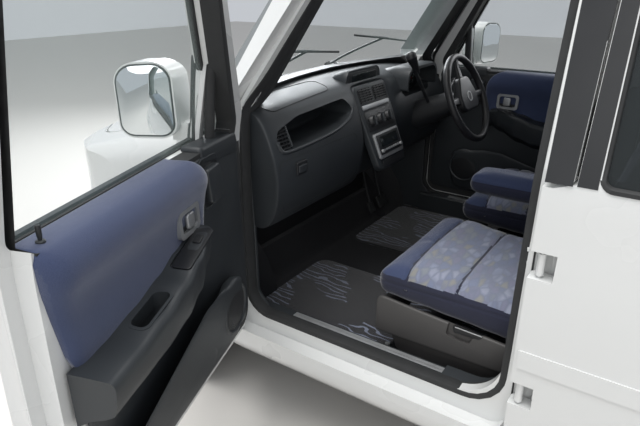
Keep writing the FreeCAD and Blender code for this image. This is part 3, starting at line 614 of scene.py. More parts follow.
def repeatTree():
    # a Geometry Nodes tree that sets a source piece out along a line, each a step on and a turn further round
    tree = bpy.data.node_groups.new("repeat", "GeometryNodeTree")
    for label, kind in (("Source", "Object"), ("Count", "Int"), ("Step", "Vector"), ("Turn", "Vector"),
                        ("Finish", "Material")):
        tree.interface.new_socket(label, in_out="INPUT", socket_type="NodeSocket" + kind)
    tree.interface.new_socket("Geometry", in_out="OUTPUT", socket_type="NodeSocketGeometry")
    kinds = {"start": "NodeGroupInput", "line": "GeometryNodeMeshLine", "source": "GeometryNodeObjectInfo",
             "index": "GeometryNodeInputIndex", "turn": "ShaderNodeVectorMath",
             "spread": "GeometryNodeInstanceOnPoints", "real": "GeometryNodeRealizeInstances",
             "coat": "GeometryNodeSetMaterial", "end": "NodeGroupOutput"}
    nodes = {key: tree.nodes.new(kind) for key, kind in kinds.items()}
    nodes["turn"].operation = "SCALE"
    for source, output, target, slot in (
            ("start", "Count", "line", "Count"), ("start", "Step", "line", "Offset"),
            ("start", "Source", "source", "Object"), ("start", "Turn", "turn", "Vector"),
            ("index", "Index", "turn", "Scale"), ("line", "Mesh", "spread", "Points"),
            ("source", "Geometry", "spread", "Instance"), ("turn", "Vector", "spread", "Rotation"),
            ("spread", "Instances", "real", "Geometry"), ("real", "Geometry", "coat", "Geometry"),
            ("start", "Finish", "coat", "Material"), ("coat", "Geometry", "end", "Geometry")):
        tree.links.new(nodes[source].outputs[output], nodes[target].inputs[slot])
    return tree


repeatGroup = repeatTree()


def repeated(name, source, count, step=(0, 0, 0), turn=(0, 0, 0)):
    # the source piece is used up, and its copies come back as one plain mesh
    carrier = linked(name, bpy.data.meshes.new(name))
    modifier = carrier.modifiers.new("repeat", "NODES")
    modifier.node_group = repeatGroup
    settings = {"Source": source, "Count": count, "Step": step, "Turn": turn,
        "Finish": source.data.materials[0]}
    for item in repeatGroup.interface.items_tree:
        if item.in_out == "INPUT":
            modifier[item.identifier] = settings[item.name]
    made = meshOf(carrier)
    empty = carrier.data
    dropped(source)
    carrier.modifiers.clear()
    carrier.data = made
    made.name = name
    bpy.data.meshes.remove(empty)
    return carrier


def kept(piece, body):
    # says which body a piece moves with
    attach(piece, body)
    return piece


def pair(piece, name, bodies):
    # a piece on the left side and its mirror image on the right
    twin = mirrored(piece, name)
    for half, body in zip((piece, twin), bodies):
        kept(half, body)
    return piece, twin


joints = {joint["name"]: joint for joint in frame["joints"]}
leftHinge = joints["front_left_door_hinge"]
hingePlace = Vector(leftHinge["pos_m"])
openTurn = (Matrix.Translation(hingePlace)
            @ Matrix.Rotation(-math.radians(leftHinge["range_deg"][1]), 4, Vector(leftHinge["axis"]))
            @ Matrix.Translation(-hingePlace))


def hang(piece, name):
    # a piece drawn on the closed left door goes to the open left door, and its mirror image to the right door
    twin = mirrored(piece, name + "Right")
    piece.name = name + "Left"
    piece.data.name = piece.name
    piece.data.transform(openTurn)
    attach(piece, "front_left_door")
    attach(twin, "front_right_door")
    return piece, twin


# Front door trims, shaped on the closed left door and then hung on both doors

trimSizes = {
    "wall": 0.655,          # the door's inner face, across
    "panel": 0.0105,        # thickness of the moulded panel
    "rear": 0.1065,         # where the cloth pad ends, along
    "padFront": -0.452,
    "front": -0.671,
    "armSlope": -13.5,      # the armrest's front part, in degrees
}
wallX = trimSizes["wall"]


def doorPanel():
    corners = [(trimSizes["front"], 0.425, 0.04), (-0.652, 0.985, 0.03), (0.096, 0.985, 0.02),
        (0.069, 0.85, 0.08), (0.054, 0.745, 0.06), (0.052, 0.43, 0.08)]
    return plate("doorPanel", "trim_plastic", "side", corners, wallX - trimSizes["panel"], wallX, 0.005)


def padProfile(along):
    # the cloth pad's section: over the belt roll, in to its hollow and down to the armrest
    swell = 0.45 + 0.55 * clamped((along - trimSizes["padFront"]) / 0.05) ** 0.5
    swell *= 0.1 + 0.9 * clamped((trimSizes["rear"] + 0.001 - along) / 0.03) ** 0.5
    dip = 0.752 if along > -0.2 else 0.752 + (-0.2 - along) * 0.28
    hollow = [(0.016, 0.005, 0.992), (0.030, 0.006, 0.979), (0.036, 0.008, 0.957), (0.032, 0.008, 0.933),
              (0.020, 0.007, 0.908), (0.012, 0.007, 0.875), (0.010, 0.007, 0.840), (0.013, 0.007, 0.800),
              (0.012, 0.007, dip)]
    return ([(wallX + 0.012, 0.9925), (wallX + 0.050, 0.9935), (wallX + 0.049, 0.9985),
        (wallX + 0.020, 1.0015), (wallX - 0.011, 0.9985)]
        + [(wallX - full * swell - thin, up) for full, thin, up in hollow]
        + [(wallX + 0.004, dip - 0.004), (wallX + 0.010, 0.86)])


def clothPad():
    rings = []
    stations = 26
    for step in range(stations):
        share = step / (stations - 1)
        along = trimSizes["padFront"] + (trimSizes["rear"] - trimSizes["padFront"]) * share
        ring = []
        for across, up in padProfile(along):
            low = clamped((0.99 - up) / 0.22)
            corner = clamped((up - 0.900) / 0.101)
            lean = 0.034 * low ** 2 * (1 - share) ** 3 - 0.042 * low * share ** 4
            lean += 0.085 * (1 - math.sqrt(1 - corner ** 2)) * (1 - share) ** 5
            ring.append(Vector((across, along + lean, up)))
        rings.append(ring)
    return loft("clothPad", "seat_cloth", rings, soft=1)


armStations = [  # along, top height, reach into the cabin, depth
    (-0.425, 0.800, 0.628, 0.030), (-0.395, 0.838, 0.610, 0.060), (-0.350, 0.846, 0.592, 0.085),
    (-0.270, 0.826, 0.574, 0.100), (-0.195, 0.806, 0.566, 0.098), (-0.100, 0.789, 0.562, 0.090),
    (0.000, 0.777, 0.561, 0.082), (0.079, 0.771, 0.562, 0.080),
]


def eased(share):
    return share * share * (3 - 2 * share)


def armSection(along):
    for low, high in zip(armStations, armStations[1:]):
        if along <= high[0]:
            share = eased((along - low[0]) / (high[0] - low[0]))
            return [a + (b - a) * share for a, b in zip(low[1:], high[1:])]
    return armStations[-1][1:]


def sloped(piece, place):
    # tilts a piece drawn level about the cross line at -0.3 along, to lie in the armrest's front part
    piece.data.transform(Matrix.Translation(place) @ Matrix.Rotation(math.radians(trimSizes["armSlope"]), 4,
        "X") @ Matrix.Translation((-place[0], -place[1], 0)))
    return piece


def armRest():
    rings = []
    inside = wallX - 0.004
    for step in range(41):
        along = -0.425 + 0.504 * step / 40
        top, reach, depth = armSection(along)
        width = inside - reach
        edge = min(0.014, width * 0.28)
        ring = [(inside, top + 0.002), (reach + edge * 2, top), (reach + edge, top - 0.0006)]
        for turn in [part / 6 * math.pi / 2 for part in range(1, 6)]:
            ring.append((reach + edge - edge * math.sin(turn), top - edge + edge * math.cos(turn) - 0.0006))
        ring += [(reach, top - edge - 0.006), (reach + 0.003, top - depth * 0.6),
                 (reach + width * 0.13, top - depth * 0.88), (reach + width * 0.32, top - depth),
                 (inside - width * 0.3, top - depth - 0.012), (inside, top - depth - 0.030)]
        rings.append([Vector((across, along, up)) for across, up in ring])
    arm = loft("armRest", "trim_plastic", rings)
    cup = plate("cupTool", "trim_plastic", "top", [(0.583, -0.158, 0.012), (0.583, -0.052, 0.012),
                (0.622, -0.056, 0.014), (0.622, -0.153, 0.014)], 0.735, 0.9, 0.0)
    well = plate("wellTool", "trim_plastic", "top", [(0.584, -0.374, 0.016), (0.579, -0.224, 0.010),
                 (0.628, -0.224, 0.010), (0.632, -0.360, 0.016)], 0.8, 0.9, 0.0)
    well.data.transform(Matrix.Translation((0, 0, -0.796)))
    return carved(arm, cup, sloped(well, (0.6, -0.3, 0.8235)))


def switchPanel():
    parts = []
    for name, finish, corners, thick, edge, rise in (
            ("switchPanel", "black_plastic", [(0.586, -0.371, 0.014), (0.581, -0.226, 0.009),
             (0.626, -0.226, 0.009), (0.630, -0.358, 0.014)], 0.006, 0.0014, 0.006),
            ("rocker", "black_plastic", [(0.597, -0.335, 0.004), (0.594, -0.305, 0.004),
             (0.614, -0.305, 0.004), (0.616, -0.333, 0.004)], 0.006, 0.0022, 0.0115),
            ("switchRecess", "trim_plastic", [(0.593, -0.350, 0.008), (0.590, -0.285, 0.006),
             (0.617, -0.285, 0.006), (0.620, -0.345, 0.008)], 0.002, 0.0006, 0.0068)):
        parts.append(sloped(plate(name, finish, "top", corners, -thick, 0.0, edge), (0, -0.3, 0.8262 + rise)))
    return joined("switchPanel", parts)


def cupRim():
    outer = [(0.578, -0.164, 0.016), (0.578, -0.046, 0.016), (0.627, -0.05, 0.018), (0.627, -0.159, 0.018)]
    inner = [(0.584, -0.157, 0.012), (0.584, -0.053, 0.012), (0.621, -0.057, 0.014), (0.621, -0.152, 0.014)]
    form = bmesh.new()
    stitched(form, [[form.verts.new(Vector((across, along, armSection(along)[0] + rise)))
                     for across, along in outline(corners)]
                    for corners, rise in ((outer, -0.001), (outer, 0.0012), (inner, 0.0012), (inner, -0.03))])
    rim = finished("cupRim", form, "trim_plastic")
    form = bmesh.new()
    form.faces.new([form.verts.new(Vector((across, along, 0.7372))) for across, along in outline(inner)])
    return joined("cupRim", [rim, finished("cupBase", form, "black_plastic")])


def handleSet():
    frameX = wallX - 0.028
    outer = [(-0.380, 0.842, 0.014), (-0.378, 0.908, 0.014), (-0.284, 0.908, 0.014), (-0.288, 0.842, 0.014)]
    inner = [(-0.368, 0.853, 0.009), (-0.366, 0.897, 0.009), (-0.296, 0.897, 0.009), (-0.299, 0.853, 0.009)]
    form = bmesh.new()
    stitched(form, [[form.verts.new(spot("side", *point, frameX + deep)) for point in outline(corners, 5)]
                    for corners, deep in ((outer, 0.012), (outer, 0.0), (inner, 0.0), (inner, 0.012))])
    bezel = finished("bezel", form, "silver_plastic")
    back = plate("bezelBack", "black_plastic", "side", inner, frameX + 0.009, frameX + 0.012, 0)
    lever = plate("innerHandle", "silver_plastic", "side", [(-0.352, 0.857, 0.006), (-0.350, 0.893, 0.006),
                  (-0.318, 0.893, 0.008), (-0.320, 0.857, 0.008)], frameX - 0.002, frameX + 0.006, 0.003)
    return joined("handleSet", [bezel, back, lever])


def gripSet():
    # a pull grip at the pad's front end: a raised block on a flat dark plate, which is painted shade standing in
    # for the finger hollow round it
    face = wallX - trimSizes["panel"]
    # painted shade: a dark plate laid flat on the panel where the hollow's shadow falls, reaching furthest above
    # and behind the block
    hollow = plate("gripHollow", "black_plastic", "side", [(-0.540, 0.858, 0.022), (-0.512, 0.975, 0.018),
                   (-0.424, 0.980, 0.016), (-0.440, 0.858, 0.020)], face - 0.0012, face + 0.004, 0.0006)
    grip = plate("gripBlock", "trim_plastic", "side", [(-0.532, 0.864, 0.020), (-0.508, 0.958, 0.014),
                 (-0.440, 0.956, 0.012), (-0.452, 0.866, 0.014)], face - 0.016, face + 0.002, 0.005)
    edge = outline([(-0.543, 0.855, 0.022), (-0.514, 0.978, 0.018), (-0.421, 0.983, 0.016),
                    (-0.437, 0.855, 0.020)], 4)
    rim = bar("gripRim", "trim_plastic", [(face - 0.0015, *point) for point in edge], 0.0022, closed=True,
        order=3)
    return joined("gripSet", [hollow, grip, rim])


pocketSizes = {
    "front": -0.572,
    "rear": 0.03,
    "top": 0.652,
    "pod": (-0.491, 0.56),      # the speaker pod's middle, along and up
    "podRadius": 0.083,
    "rows": 44,
}


def lowerTrim():
    # the map pocket's outer wall, which runs forward into the speaker's round pod
    inside = wallX - trimSizes["panel"] + 0.001
    podAlong, podUp = pocketSizes["pod"]
    length = pocketSizes["rear"] - pocketSizes["front"]
    rings = []
    for step in range(pocketSizes["rows"] + 1):
        along = pocketSizes["front"] + length * step / pocketSizes["rows"]
        toPod = eased(clamped((-0.36 - along) / 0.14))
        spread = min(1.0, abs(along - podAlong) / pocketSizes["podRadius"])
        top = pocketSizes["top"]
        if along > -0.33:
            top -= (along + 0.33) * 0.28
        elif -0.47 <= along < -0.4:
            top = 0.641 + (top - 0.641) * eased((along + 0.47) / 0.07)
        elif along < -0.47:
            top = podUp + 0.084 * math.sqrt(max(0.0, 1 - spread * spread))
        bottom = 0.443 + 0.006 * max(0.0, (along + 0.1) / 0.13) ** 2
        if along < -0.5:
            bottom = podUp - 0.117 * math.sqrt(max(0.0, 1 - spread ** 3))
            top = max(top, bottom + 0.002)
        ends = clamped((0.03 - along) / 0.05) ** 0.5 * clamped((along + 0.572) / 0.03) ** 0.5
        depth = 0.044 * ends
        reach = inside - depth
        thick = min(0.0045 + (depth - 0.0045) * toPod, max(0.0002, depth))
        lean = 0.006 * ends
        tall = top - bottom
        rings.append([Vector((across, along, up)) for across, up in (
            (reach + thick, top - 0.002), (reach + 0.002, top), (reach, top - 0.006),
            (reach + lean * 0.3, top - tall * 0.35), (reach + lean, top - tall * 0.7),
            (reach + lean * 2.2, bottom + 0.01), (reach + lean * 3 + 0.008 * ends, bottom),
            (inside, bottom - 0.003 * ends), (inside, bottom + 0.006),
            (reach + thick + 0.001, bottom + 0.010), (reach + thick, top - tall * 0.5))])
    return loft("lowerTrim", "trim_plastic", rings, soft=1)


def speakerGrille():
    # a round mesh of punched steel, its holes laid out as rings of small dark studs
    centre = Vector((0.6035, *pocketSizes["pod"]))
    out = (1, 0, 0)
    parts = [turned("speakerRim", "trim_plastic", [(0.0, 0.004), (0.060, 0.004), (0.063, 0.0),
        (0.067, -0.0012), (0.071, 0.002), (0.073, 0.009), (0.0, 0.009)], centre, out, 64),
        turned("speakerDisc", "black_plastic", [(0.0, -0.0022), (0.03, -0.0018), (0.052, 0.0),
        (0.061, 0.0035), (0.0, 0.0035)], centre, out, 64)]
    for ring in range(1, 12):
        radius = 0.005 * ring
        lift = -0.0026 + (radius / 0.061) ** 2 * 0.0025
        stud = turned("speakerHole", "seal_rubber", [(0.0, 0.0), (0.0013, 0.0), (0.0013, 0.0008)],
            (lift, radius, 0), out, 6)
        holes = repeated("speakerHoles", stud, ring * 6, turn=(math.tau / (ring * 6), 0, 0))
        holes.data.transform(Matrix.Translation(centre))
        parts.append(holes)
    return joined("speakerGrille", parts)


def lockKnob():
    knob = turned("lockKnob", "black_plastic", [(0.0, 0.030), (0.0032, 0.0295), (0.0045, 0.027),
        (0.0042, 0.012), (0.0034, 0.008), (0.0034, -0.012), (0.0, -0.012)], (0.664, 0.06, 0.998), steps=20)
    collar = turned("lockCollar", "trim_plastic", [(0.0, 0.002), (0.006, 0.0018), (0.0078, 0.0),
        (0.0078, -0.004), (0.0, -0.004)], (0.664, 0.06, 1.002), steps=24)
    return joined("lockKnob", [knob, collar])


def rimRubber():
    # the dark rubber on the door's inner face, in front of the trim and under it
    return plate("rimRubber", "seal_rubber", "side", [(-0.6865, 0.990, 0.0), (-0.6865, 0.3985, 0.052),
                 (0.086, 0.3985, 0.11), (0.092, 0.60, 0.0), (0.078, 0.60, 0.0), (0.068, 0.428, 0.085),
                 (-0.666, 0.428, 0.04), (-0.666, 0.990, 0.0)], wallX - 0.003, wallX + 0.001, 0.001, rounds=1)


def beltMoulding():
    # the rubber lip that wipes the window glass, along the belt
    lip = plate("beltLip", "seal_rubber", "side", oblong(-0.545, 0.094, 0.990, 0.9985, 0.002), 0.7035, 0.712,
        0.0015)
    cap = plate("mirrorCorner", "trim_plastic", "side", [(-0.664, 0.94, 0.03), (-0.645, 1.000, 0.02),
                (-0.440, 1.009, 0.012), (-0.440, 0.970, 0.01), (-0.532, 0.95, 0.02)], 0.6415, 0.698, 0.010)
    return joined("beltMoulding", [lip, cap])


for name, maker in (("doorPanel", doorPanel), ("doorPad", clothPad), ("doorArmRest", armRest),
                    ("doorSwitches", switchPanel), ("doorCup", cupRim), ("doorHandleSet", handleSet),
                    ("doorGrip", gripSet), ("doorLowerTrim", lowerTrim), ("doorSpeaker", speakerGrille),
                    ("doorLockKnob", lockKnob), ("doorRim", rimRubber), ("doorBelt", beltMoulding)):
    halves = hang(maker(), name)
    if name == "doorPanel":
        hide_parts("front_door_left_trim")
        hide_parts("front_door_right_trim")
print("front door trims made")


# Seats: cloth covers blown up by simulation, with their sewn channels pressed in afterwards

seatSizes = {
    "inner": 0.08,           # the left cushion's sides, across
    "outer": 0.581,
    "top": 0.56,
    "seams": [(-0.212, 0.016, 0.006, 0.009), (-0.068, 0.012, 0.0045, 0.005)],     # along, bow, width, depth
    "seamDark": 0.0032,      # half width of the dark line in a seam
    "voxel": 0.008,
    "pressure": 4.0,
    "frames": 20,
    "benchHalf": 0.525,
    "benchSeams": (-0.3, 0.0, 0.3),
}


def covered(name, side, inner, outer, edge, cap, levels=1):
    # a shape a little inside its CAD solid is remeshed, blown up and held within the cap
    shape = plate(name, "seat_cloth", "side", side, inner, outer, edge, rounds=4)
    settle(shape, "REMESH", mode="VOXEL", voxel_size=seatSizes["voxel"], adaptivity=0.0)
    start = [vertex.co.copy() for vertex in shape.data.vertices]
    cloth = shape.modifiers.new("cover", "CLOTH")
    cloth.settings.use_pressure = True
    cloth.settings.uniform_pressure_force = seatSizes["pressure"]
    cloth.settings.effector_weights.gravity = 0
    cloth.settings.quality = 4
    cloth.point_cache.frame_start = 1
    cloth.point_cache.frame_end = seatSizes["frames"]
    for step in range(1, seatSizes["frames"] + 1):
        bpy.context.scene.frame_set(step)
    blown = shape.evaluated_get(bpy.context.evaluated_depsgraph_get()).data
    ends = [vertex.co.copy() for vertex in blown.vertices]
    shape.modifiers.clear()
    bpy.context.scene.frame_set(1)
    for vertex, first, last in zip(shape.data.vertices, start, ends):
        shift = last - first
        if shift.length > cap:
            shift *= cap / shift.length
        vertex.co = first + shift
    settle(shape, "SMOOTH", factor=0.5, iterations=4)
    settle(shape, "SUBSURF", levels=levels, render_levels=levels)
    shape.data.polygons.foreach_set("use_smooth", [True] * len(shape.data.polygons))
    return shape


def panelled(piece, choose):
    # choose(place of a face, its normal) gives the finish of that part of a cover, or nothing to leave it
    slots = {}
    for polygon in piece.data.polygons:
        finish = choose(polygon.center, polygon.normal)
        if finish and finish not in slots:
            slots[finish] = len(piece.data.materials)
            piece.data.materials.append(finishes[finish])
        if finish:
            polygon.material_index = slots[finish]
    return piece


def cushionCover():
    inner, outer, top = seatSizes["inner"], seatSizes["outer"], seatSizes["top"]
    middle = (inner + outer) / 2
    side = [(-0.31, 0.524, 0.03), (-0.321, 0.600, 0.045), (-0.19, 0.609, 0.3), (0.195, 0.580, 0.04),
            (0.195, 0.488, 0.03), (-0.2, 0.516, 0.1)]
    shape = covered("cushion", side, inner, outer, 0.032, 0.011)
    points = [vertex.co for vertex in shape.data.vertices]
    for point in points:
        if point.z > top:
            dish = max(0.0, 1 - abs((point.x - middle) / (outer - inner) * 2) ** 2.2)
            point.z -= 0.012 * dish * clamped((point.y + 0.25) / 0.2) * min(1.0, (point.z - top) / 0.03)

    def seamAt(place, along, bow):
        return along - bow * (1 - ((place.x - middle) / 0.25) ** 2)

    for along, bow, width, depth in seatSizes["seams"]:
        for point in points:
            away = abs(point.y - seamAt(point, along, bow))
            if point.z >= top and away < width * 3:
                point.z -= depth * bell(away, width)
    for point in points:
        away = abs(point.z - 0.568)
        near = min(outer - point.x, point.x - inner, point.y + 0.318)
        if point.y <= 0.17 and near < 0.03 and away < 0.012:
            pull = Vector((middle - point.x, -0.06 - point.y, 0)).normalized()
            point += pull * 0.003 * bell(away, 0.0035)

    # faces turned sideways or lying low get the darker navy copy as painted shade, and the seam lines get it as
    # dark joints; the top behind the first seam gets the pattern
    def panelAt(place, normal):
        if place.z < 0.588 - 0.1 * max(0.0, place.y - 0.02) and abs(normal.z) < 0.75 or place.z < 0.53:
            return "seat_side"
        if place.z <= 0.55:
            return None
        lines = [seamAt(place, along, bow) for along, bow, width, depth in seatSizes["seams"]]
        if min(abs(place.y - line) for line in lines) < seatSizes["seamDark"]:
            return "seat_side"
        return "seat_pattern" if place.y > lines[0] else None

    return panelled(shape, panelAt)


def backCover():
    inner, outer = 0.09, 0.574
    middle = (inner + outer) / 2
    side = [(0.166, 0.66, 0.035), (0.306, 1.142, 0.05), (0.394, 1.142, 0.045), (0.342, 0.568, 0.04),
            (0.219, 0.568, 0.01), (0.219, 0.645, 0.01)]
    shape = covered("seatBack", side, inner, outer, 0.034, 0.012)

    def behindFace(place):
        return place.y - (0.166 + (place.z - 0.66) * 0.29)

    for vertex in shape.data.vertices:
        point = vertex.co
        face = behindFace(point)
        if face < 0.05 and point.z > 0.62:
            across = abs((point.x - middle) / 0.24)
            near = max(0.0, 1 - face / 0.05)
            point.y += 0.012 * max(0.0, 1 - across ** 2) * near
            point.y += 0.008 * bell(abs(point.x - middle) - 0.178, 0.005) * near
            for seamUp in (0.78, 0.93):
                if across < 0.74:
                    point.y += 0.006 * bell(point.z - seamUp, 0.006) * near

    # faces turned sideways and the back get the darker navy copy as painted shade; the middle of the front gets
    # the pattern
    def panelAt(place, normal):
        face = behindFace(place)
        if abs(place.x - middle) > 0.215 and abs(normal.x) > 0.6 or face > 0.06:
            return "seat_side"
        return "seat_pattern" if face < 0.045 and abs(place.x - middle) < 0.177 and place.z < 1.09 else None

    return panelled(shape, panelAt)


def headCover():
    side = [(0.303, 1.196, 0.035), (0.333, 1.344, 0.04), (0.404, 1.344, 0.04), (0.385, 1.196, 0.03)]
    return covered("headrest", side, 0.213, 0.451, 0.030, 0.010)


def armCover():
    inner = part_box("armrest")[0].x
    side = [(-0.238, 0.694, 0.03), (-0.229, 0.764, 0.03), (0.166, 0.764, 0.02), (0.184, 0.694, 0.02)]
    shape = covered("armPad", side, inner + 0.006, 0.073, 0.018, 0.008)
    for vertex in shape.data.vertices:
        point = vertex.co
        near = min(abs(point.x - inner - 0.012), abs(point.x - 0.067))
        if point.z > 0.74:
            point.z -= 0.003 * bell(near, 0.004)
        if 0.70 < point.z < 0.745:
            point.x += 0.003 * bell(point.z - 0.735, 0.004) * (1 if point.x < 0.02 else -1)
    # the armrest's lower part gets the darker navy copy as painted shade
    return panelled(shape, lambda place, normal: "seat_side" if place.z < 0.735 else None)


def benchCover():
    half = seatSizes["benchHalf"]
    side = [(0.566, 0.506, 0.04), (0.561, 0.612, 0.05), (0.975, 0.592, 0.04), (0.990, 0.512, 0.03)]
    shape = covered("benchCushion", side, -half, half, 0.034, 0.012)
    for vertex in shape.data.vertices:
        point = vertex.co
        if point.z > 0.57:
            dips = sum(bell(point.x - seam, 0.006) for seam in seatSizes["benchSeams"])
            point.z -= 0.007 * dips + 0.006 * bell(point.y - 0.66, 0.006)
    return shape


def benchBack():
    half = seatSizes["benchHalf"]
    side = [(0.991, 0.626, 0.04), (1.08, 1.112, 0.05), (1.158, 1.112, 0.04), (1.106, 0.56, 0.04)]
    shape = covered("benchBack", side, -half, half, 0.034, 0.012, levels=0)
    for vertex in shape.data.vertices:
        point = vertex.co
        if point.y - (0.991 + (point.z - 0.626) * 0.183) < 0.05:
            dips = sum(bell(point.x - seam, 0.006) for seam in seatSizes["benchSeams"])
            point.y += 0.007 * dips + 0.006 * bell(point.z - 0.82, 0.006)
    return shape


for name, maker, twins, node, fill in (("cushion", cushionCover, True, "seat_cushions", 0.75),
                                       ("seatBack", backCover, True, "seat_backs", 0.7),
                                       ("headrest", headCover, True, "headrests", 0.75),
                                       ("armPad", armCover, False, "armrest", 0.7),
                                       ("benchCushion", benchCover, False, "rear_seat", 0.7),
                                       ("benchBack", benchBack, False, "rear_seat", 0.7)):
    shape = maker()
    shape.name = shape.data.name = name + "Left" if twins else name
    for piece in [shape, mirrored(shape, name + "Right")] if twins else [shape]:
        kept(piece, "shell")
    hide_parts(node)
    print("soft piece", name, len(shape.data.polygons), "faces")


# Dashboard: a lofted shell with its open shelf carved in, then vents, dials, display and seams

dashSizes = {
    "shelf": [(0.604, 0.893, 0.03), (0.604, 0.955, 0.03), (0.48, 0.982, 0.2), (0.21, 0.992, 0.03),
              (0.165, 0.945, 0.04), (0.24, 0.912, 0.08), (0.45, 0.893, 0.2)],
    "shelfBack": -0.757,
    "stations": (0.0, 0.113, 0.125, 0.20, 0.32, 0.45, 0.56, 0.62, 0.636, 0.6395),     # across, to both sides
    "half": 0.648,
    "stackTop": (0.0, -0.6705, 1.010),
    "stackLean": 22.5,
    "mist": (0.592, -0.708, 1.0085),
    "mistAxis": (0.05, 0.35, 0.93),
}
dashProfile = [  # along and height down the dash's face, from the screen round to its underside
    (-0.842, 0.900), (-0.842, 1.034), (-0.80, 1.031), (-0.75, 1.026), (-0.705, 1.019), (-0.680, 1.010),
    (-0.661, 0.994), (-0.646, 0.972), (-0.633, 0.945), (-0.621, 0.912), (-0.610, 0.872), (-0.603, 0.830),
    (-0.603, 0.785), (-0.611, 0.735), (-0.630, 0.685), (-0.663, 0.652), (-0.72, 0.655), (-0.79, 0.70),
    (-0.835, 0.80),
]


def dashShell():
    rings = []
    stations = dashSizes["stations"]
    for across in [*reversed(stations), *[-place for place in stations[1:]]]:
        ring = []
        shrink = 0.006 * max(0.0, (abs(across) - 0.622) / 0.0175) ** 2
        fall = 0.035 * max(0.0, (abs(across) - 0.25) / 0.4) ** 2 if across < 0 else 0.0
        bow = 1 - (abs(across) / dashSizes["half"]) ** 2
        for along, up in dashProfile:
            low = clamped((0.9 - up) / 0.2)
            place = along - shrink * (1 if along > -0.7 else -0.4)
            if along < -0.82 and up > 1:
                place -= 0.056 * bow
            if abs(across) < 0.12 and along > -0.68:
                place -= 0.035
            if across < -0.12:
                place -= 0.035 * low
            rise = 0.010 * bow * (up > 0.95) - shrink * (up > 0.9) - fall * (1 - low)
            ring.append(Vector((across, place, up + rise)))
        rings.append(ring)
    shell = loft("dashShell", "trim_plastic", rings, soft=2)
    shelf = plate("shelfTool", "trim_plastic", "front", dashSizes["shelf"], dashSizes["shelfBack"], -0.5, 0,
        steps=8)
    settle(shelf, "BEVEL", width=0.012, segments=4, limit_method="ANGLE", angle_limit=math.radians(50))
    cluster = plate("clusterTool", "trim_plastic", "front",
                    trapeze(0.1325, 0.1325, 0.93, 1.03, 0.03, 0.05, -0.3375), -0.70, -0.5, 0)
    return carved(shell, shelf, cluster)


def shelfLip():
    lower = [(0.606, 0.930), (0.604, 0.900), (0.585, 0.8925), (0.50, 0.8935), (0.38, 0.8965), (0.28, 0.9045),
             (0.21, 0.922), (0.176, 0.938), (0.168, 0.955)]
    path = [(across, -0.609 + (0.872 - up) * 0.37, up) for across, up in lower]
    return bar("shelfLip", "trim_plastic", path, 0.0062)


def sideVent():
    # level louvres between two corners of the vent's mouth, with upright vanes before them
    foot = Vector((0, -0.628, 0.902))
    step = (Vector((0, -0.652, 0.962)) - foot) / 6
    louvre = block("louvre", "black_plastic", (0.548, -0.011, -0.0011), (0.602, 0.011, 0.0011), 0.0009, 2)
    louvre.data.transform(Matrix.Rotation(math.radians(-12), 4, "X"))
    row = repeated("louvre", louvre, 6, step)
    row.data.transform(Matrix.Translation(foot + step / 2))
    parts = [row]
    for across in (0.562, 0.576, 0.59):
        parts.append(plate("vane", "black_plastic", "side", [(-0.665, 0.962, 0), (-0.645, 0.958, 0),
            (-0.622, 0.902, 0), (-0.645, 0.90, 0)], across - 0.0008, across + 0.0008, 0.0004, 2))
    parts.append(plate("ventCheek", "trim_plastic", "side", [(-0.70, 0.972, 0.004), (-0.648, 0.966, 0.006),
                       (-0.617, 0.898, 0.006), (-0.70, 0.898, 0.004)], 0.540, 0.547, 0.0015))
    parts.append(plate("ventBack", "black_plastic", "front", oblong(0.545, 0.606, 0.89, 0.97), -0.69, -0.683,
        0.0005))
    return joined("sideVent", parts)


def mistVent():
    rim = turned("mistRim", "trim_plastic", [(0.0125, 0.0), (0.0135, 0.0022), (0.0160, 0.0022),
        (0.0172, 0.0002), (0.0172, -0.006), (0.0125, -0.006), (0.0125, 0.0)], dashSizes["mist"],
        dashSizes["mistAxis"], 32)
    hole = turned("mistHole", "seal_rubber", [(0.0, -0.001), (0.0126, -0.001), (0.0126, -0.006),
        (0.0, -0.006)], dashSizes["mist"], dashSizes["mistAxis"], 24)
    return joined("mistVent", [rim, hole])


def faceAt(up):
    # how far along the dash's face lies at a height
    for (firstAlong, firstUp), (lastAlong, lastUp) in zip(dashProfile[5:], dashProfile[6:]):
        if lastUp <= up <= firstUp:
            return firstAlong + (lastAlong - firstAlong) * (up - firstUp) / (lastUp - firstUp)
    return dashProfile[11][0]


def gloveBox():
    # the lid's seam, a dark line that follows the dash's face, and its latch
    points = outline([(0.628, 0.874, 0.014), (0.19, 0.874, 0.02), (0.175, 0.70, 0.03), (0.60, 0.70, 0.03)], 4)
    middle = Vector((0.4, 0.79))
    form = bmesh.new()
    rows = []
    for wide in (0.0, 0.0026):
        row = []
        for point in points:
            inner = point + (middle - point).normalized() * wide
            row.append(form.verts.new(Vector((inner.x, faceAt(point.y) + 0.0012, inner.y))))
        rows.append(row)
    stitched(form, rows)
    latch = plate("gloveLatch", "black_plastic", "front", oblong(0.497, 0.549, 0.817, 0.858, 0.006), -0.612,
        -0.599)
    paddle = plate("glovePaddle", "trim_plastic", "front", oblong(0.503, 0.543, 0.823, 0.846, 0.004), -0.603,
        -0.5965)
    return joined("gloveBox", [finished("gloveSeam", form, "seal_rubber"), latch, paddle])


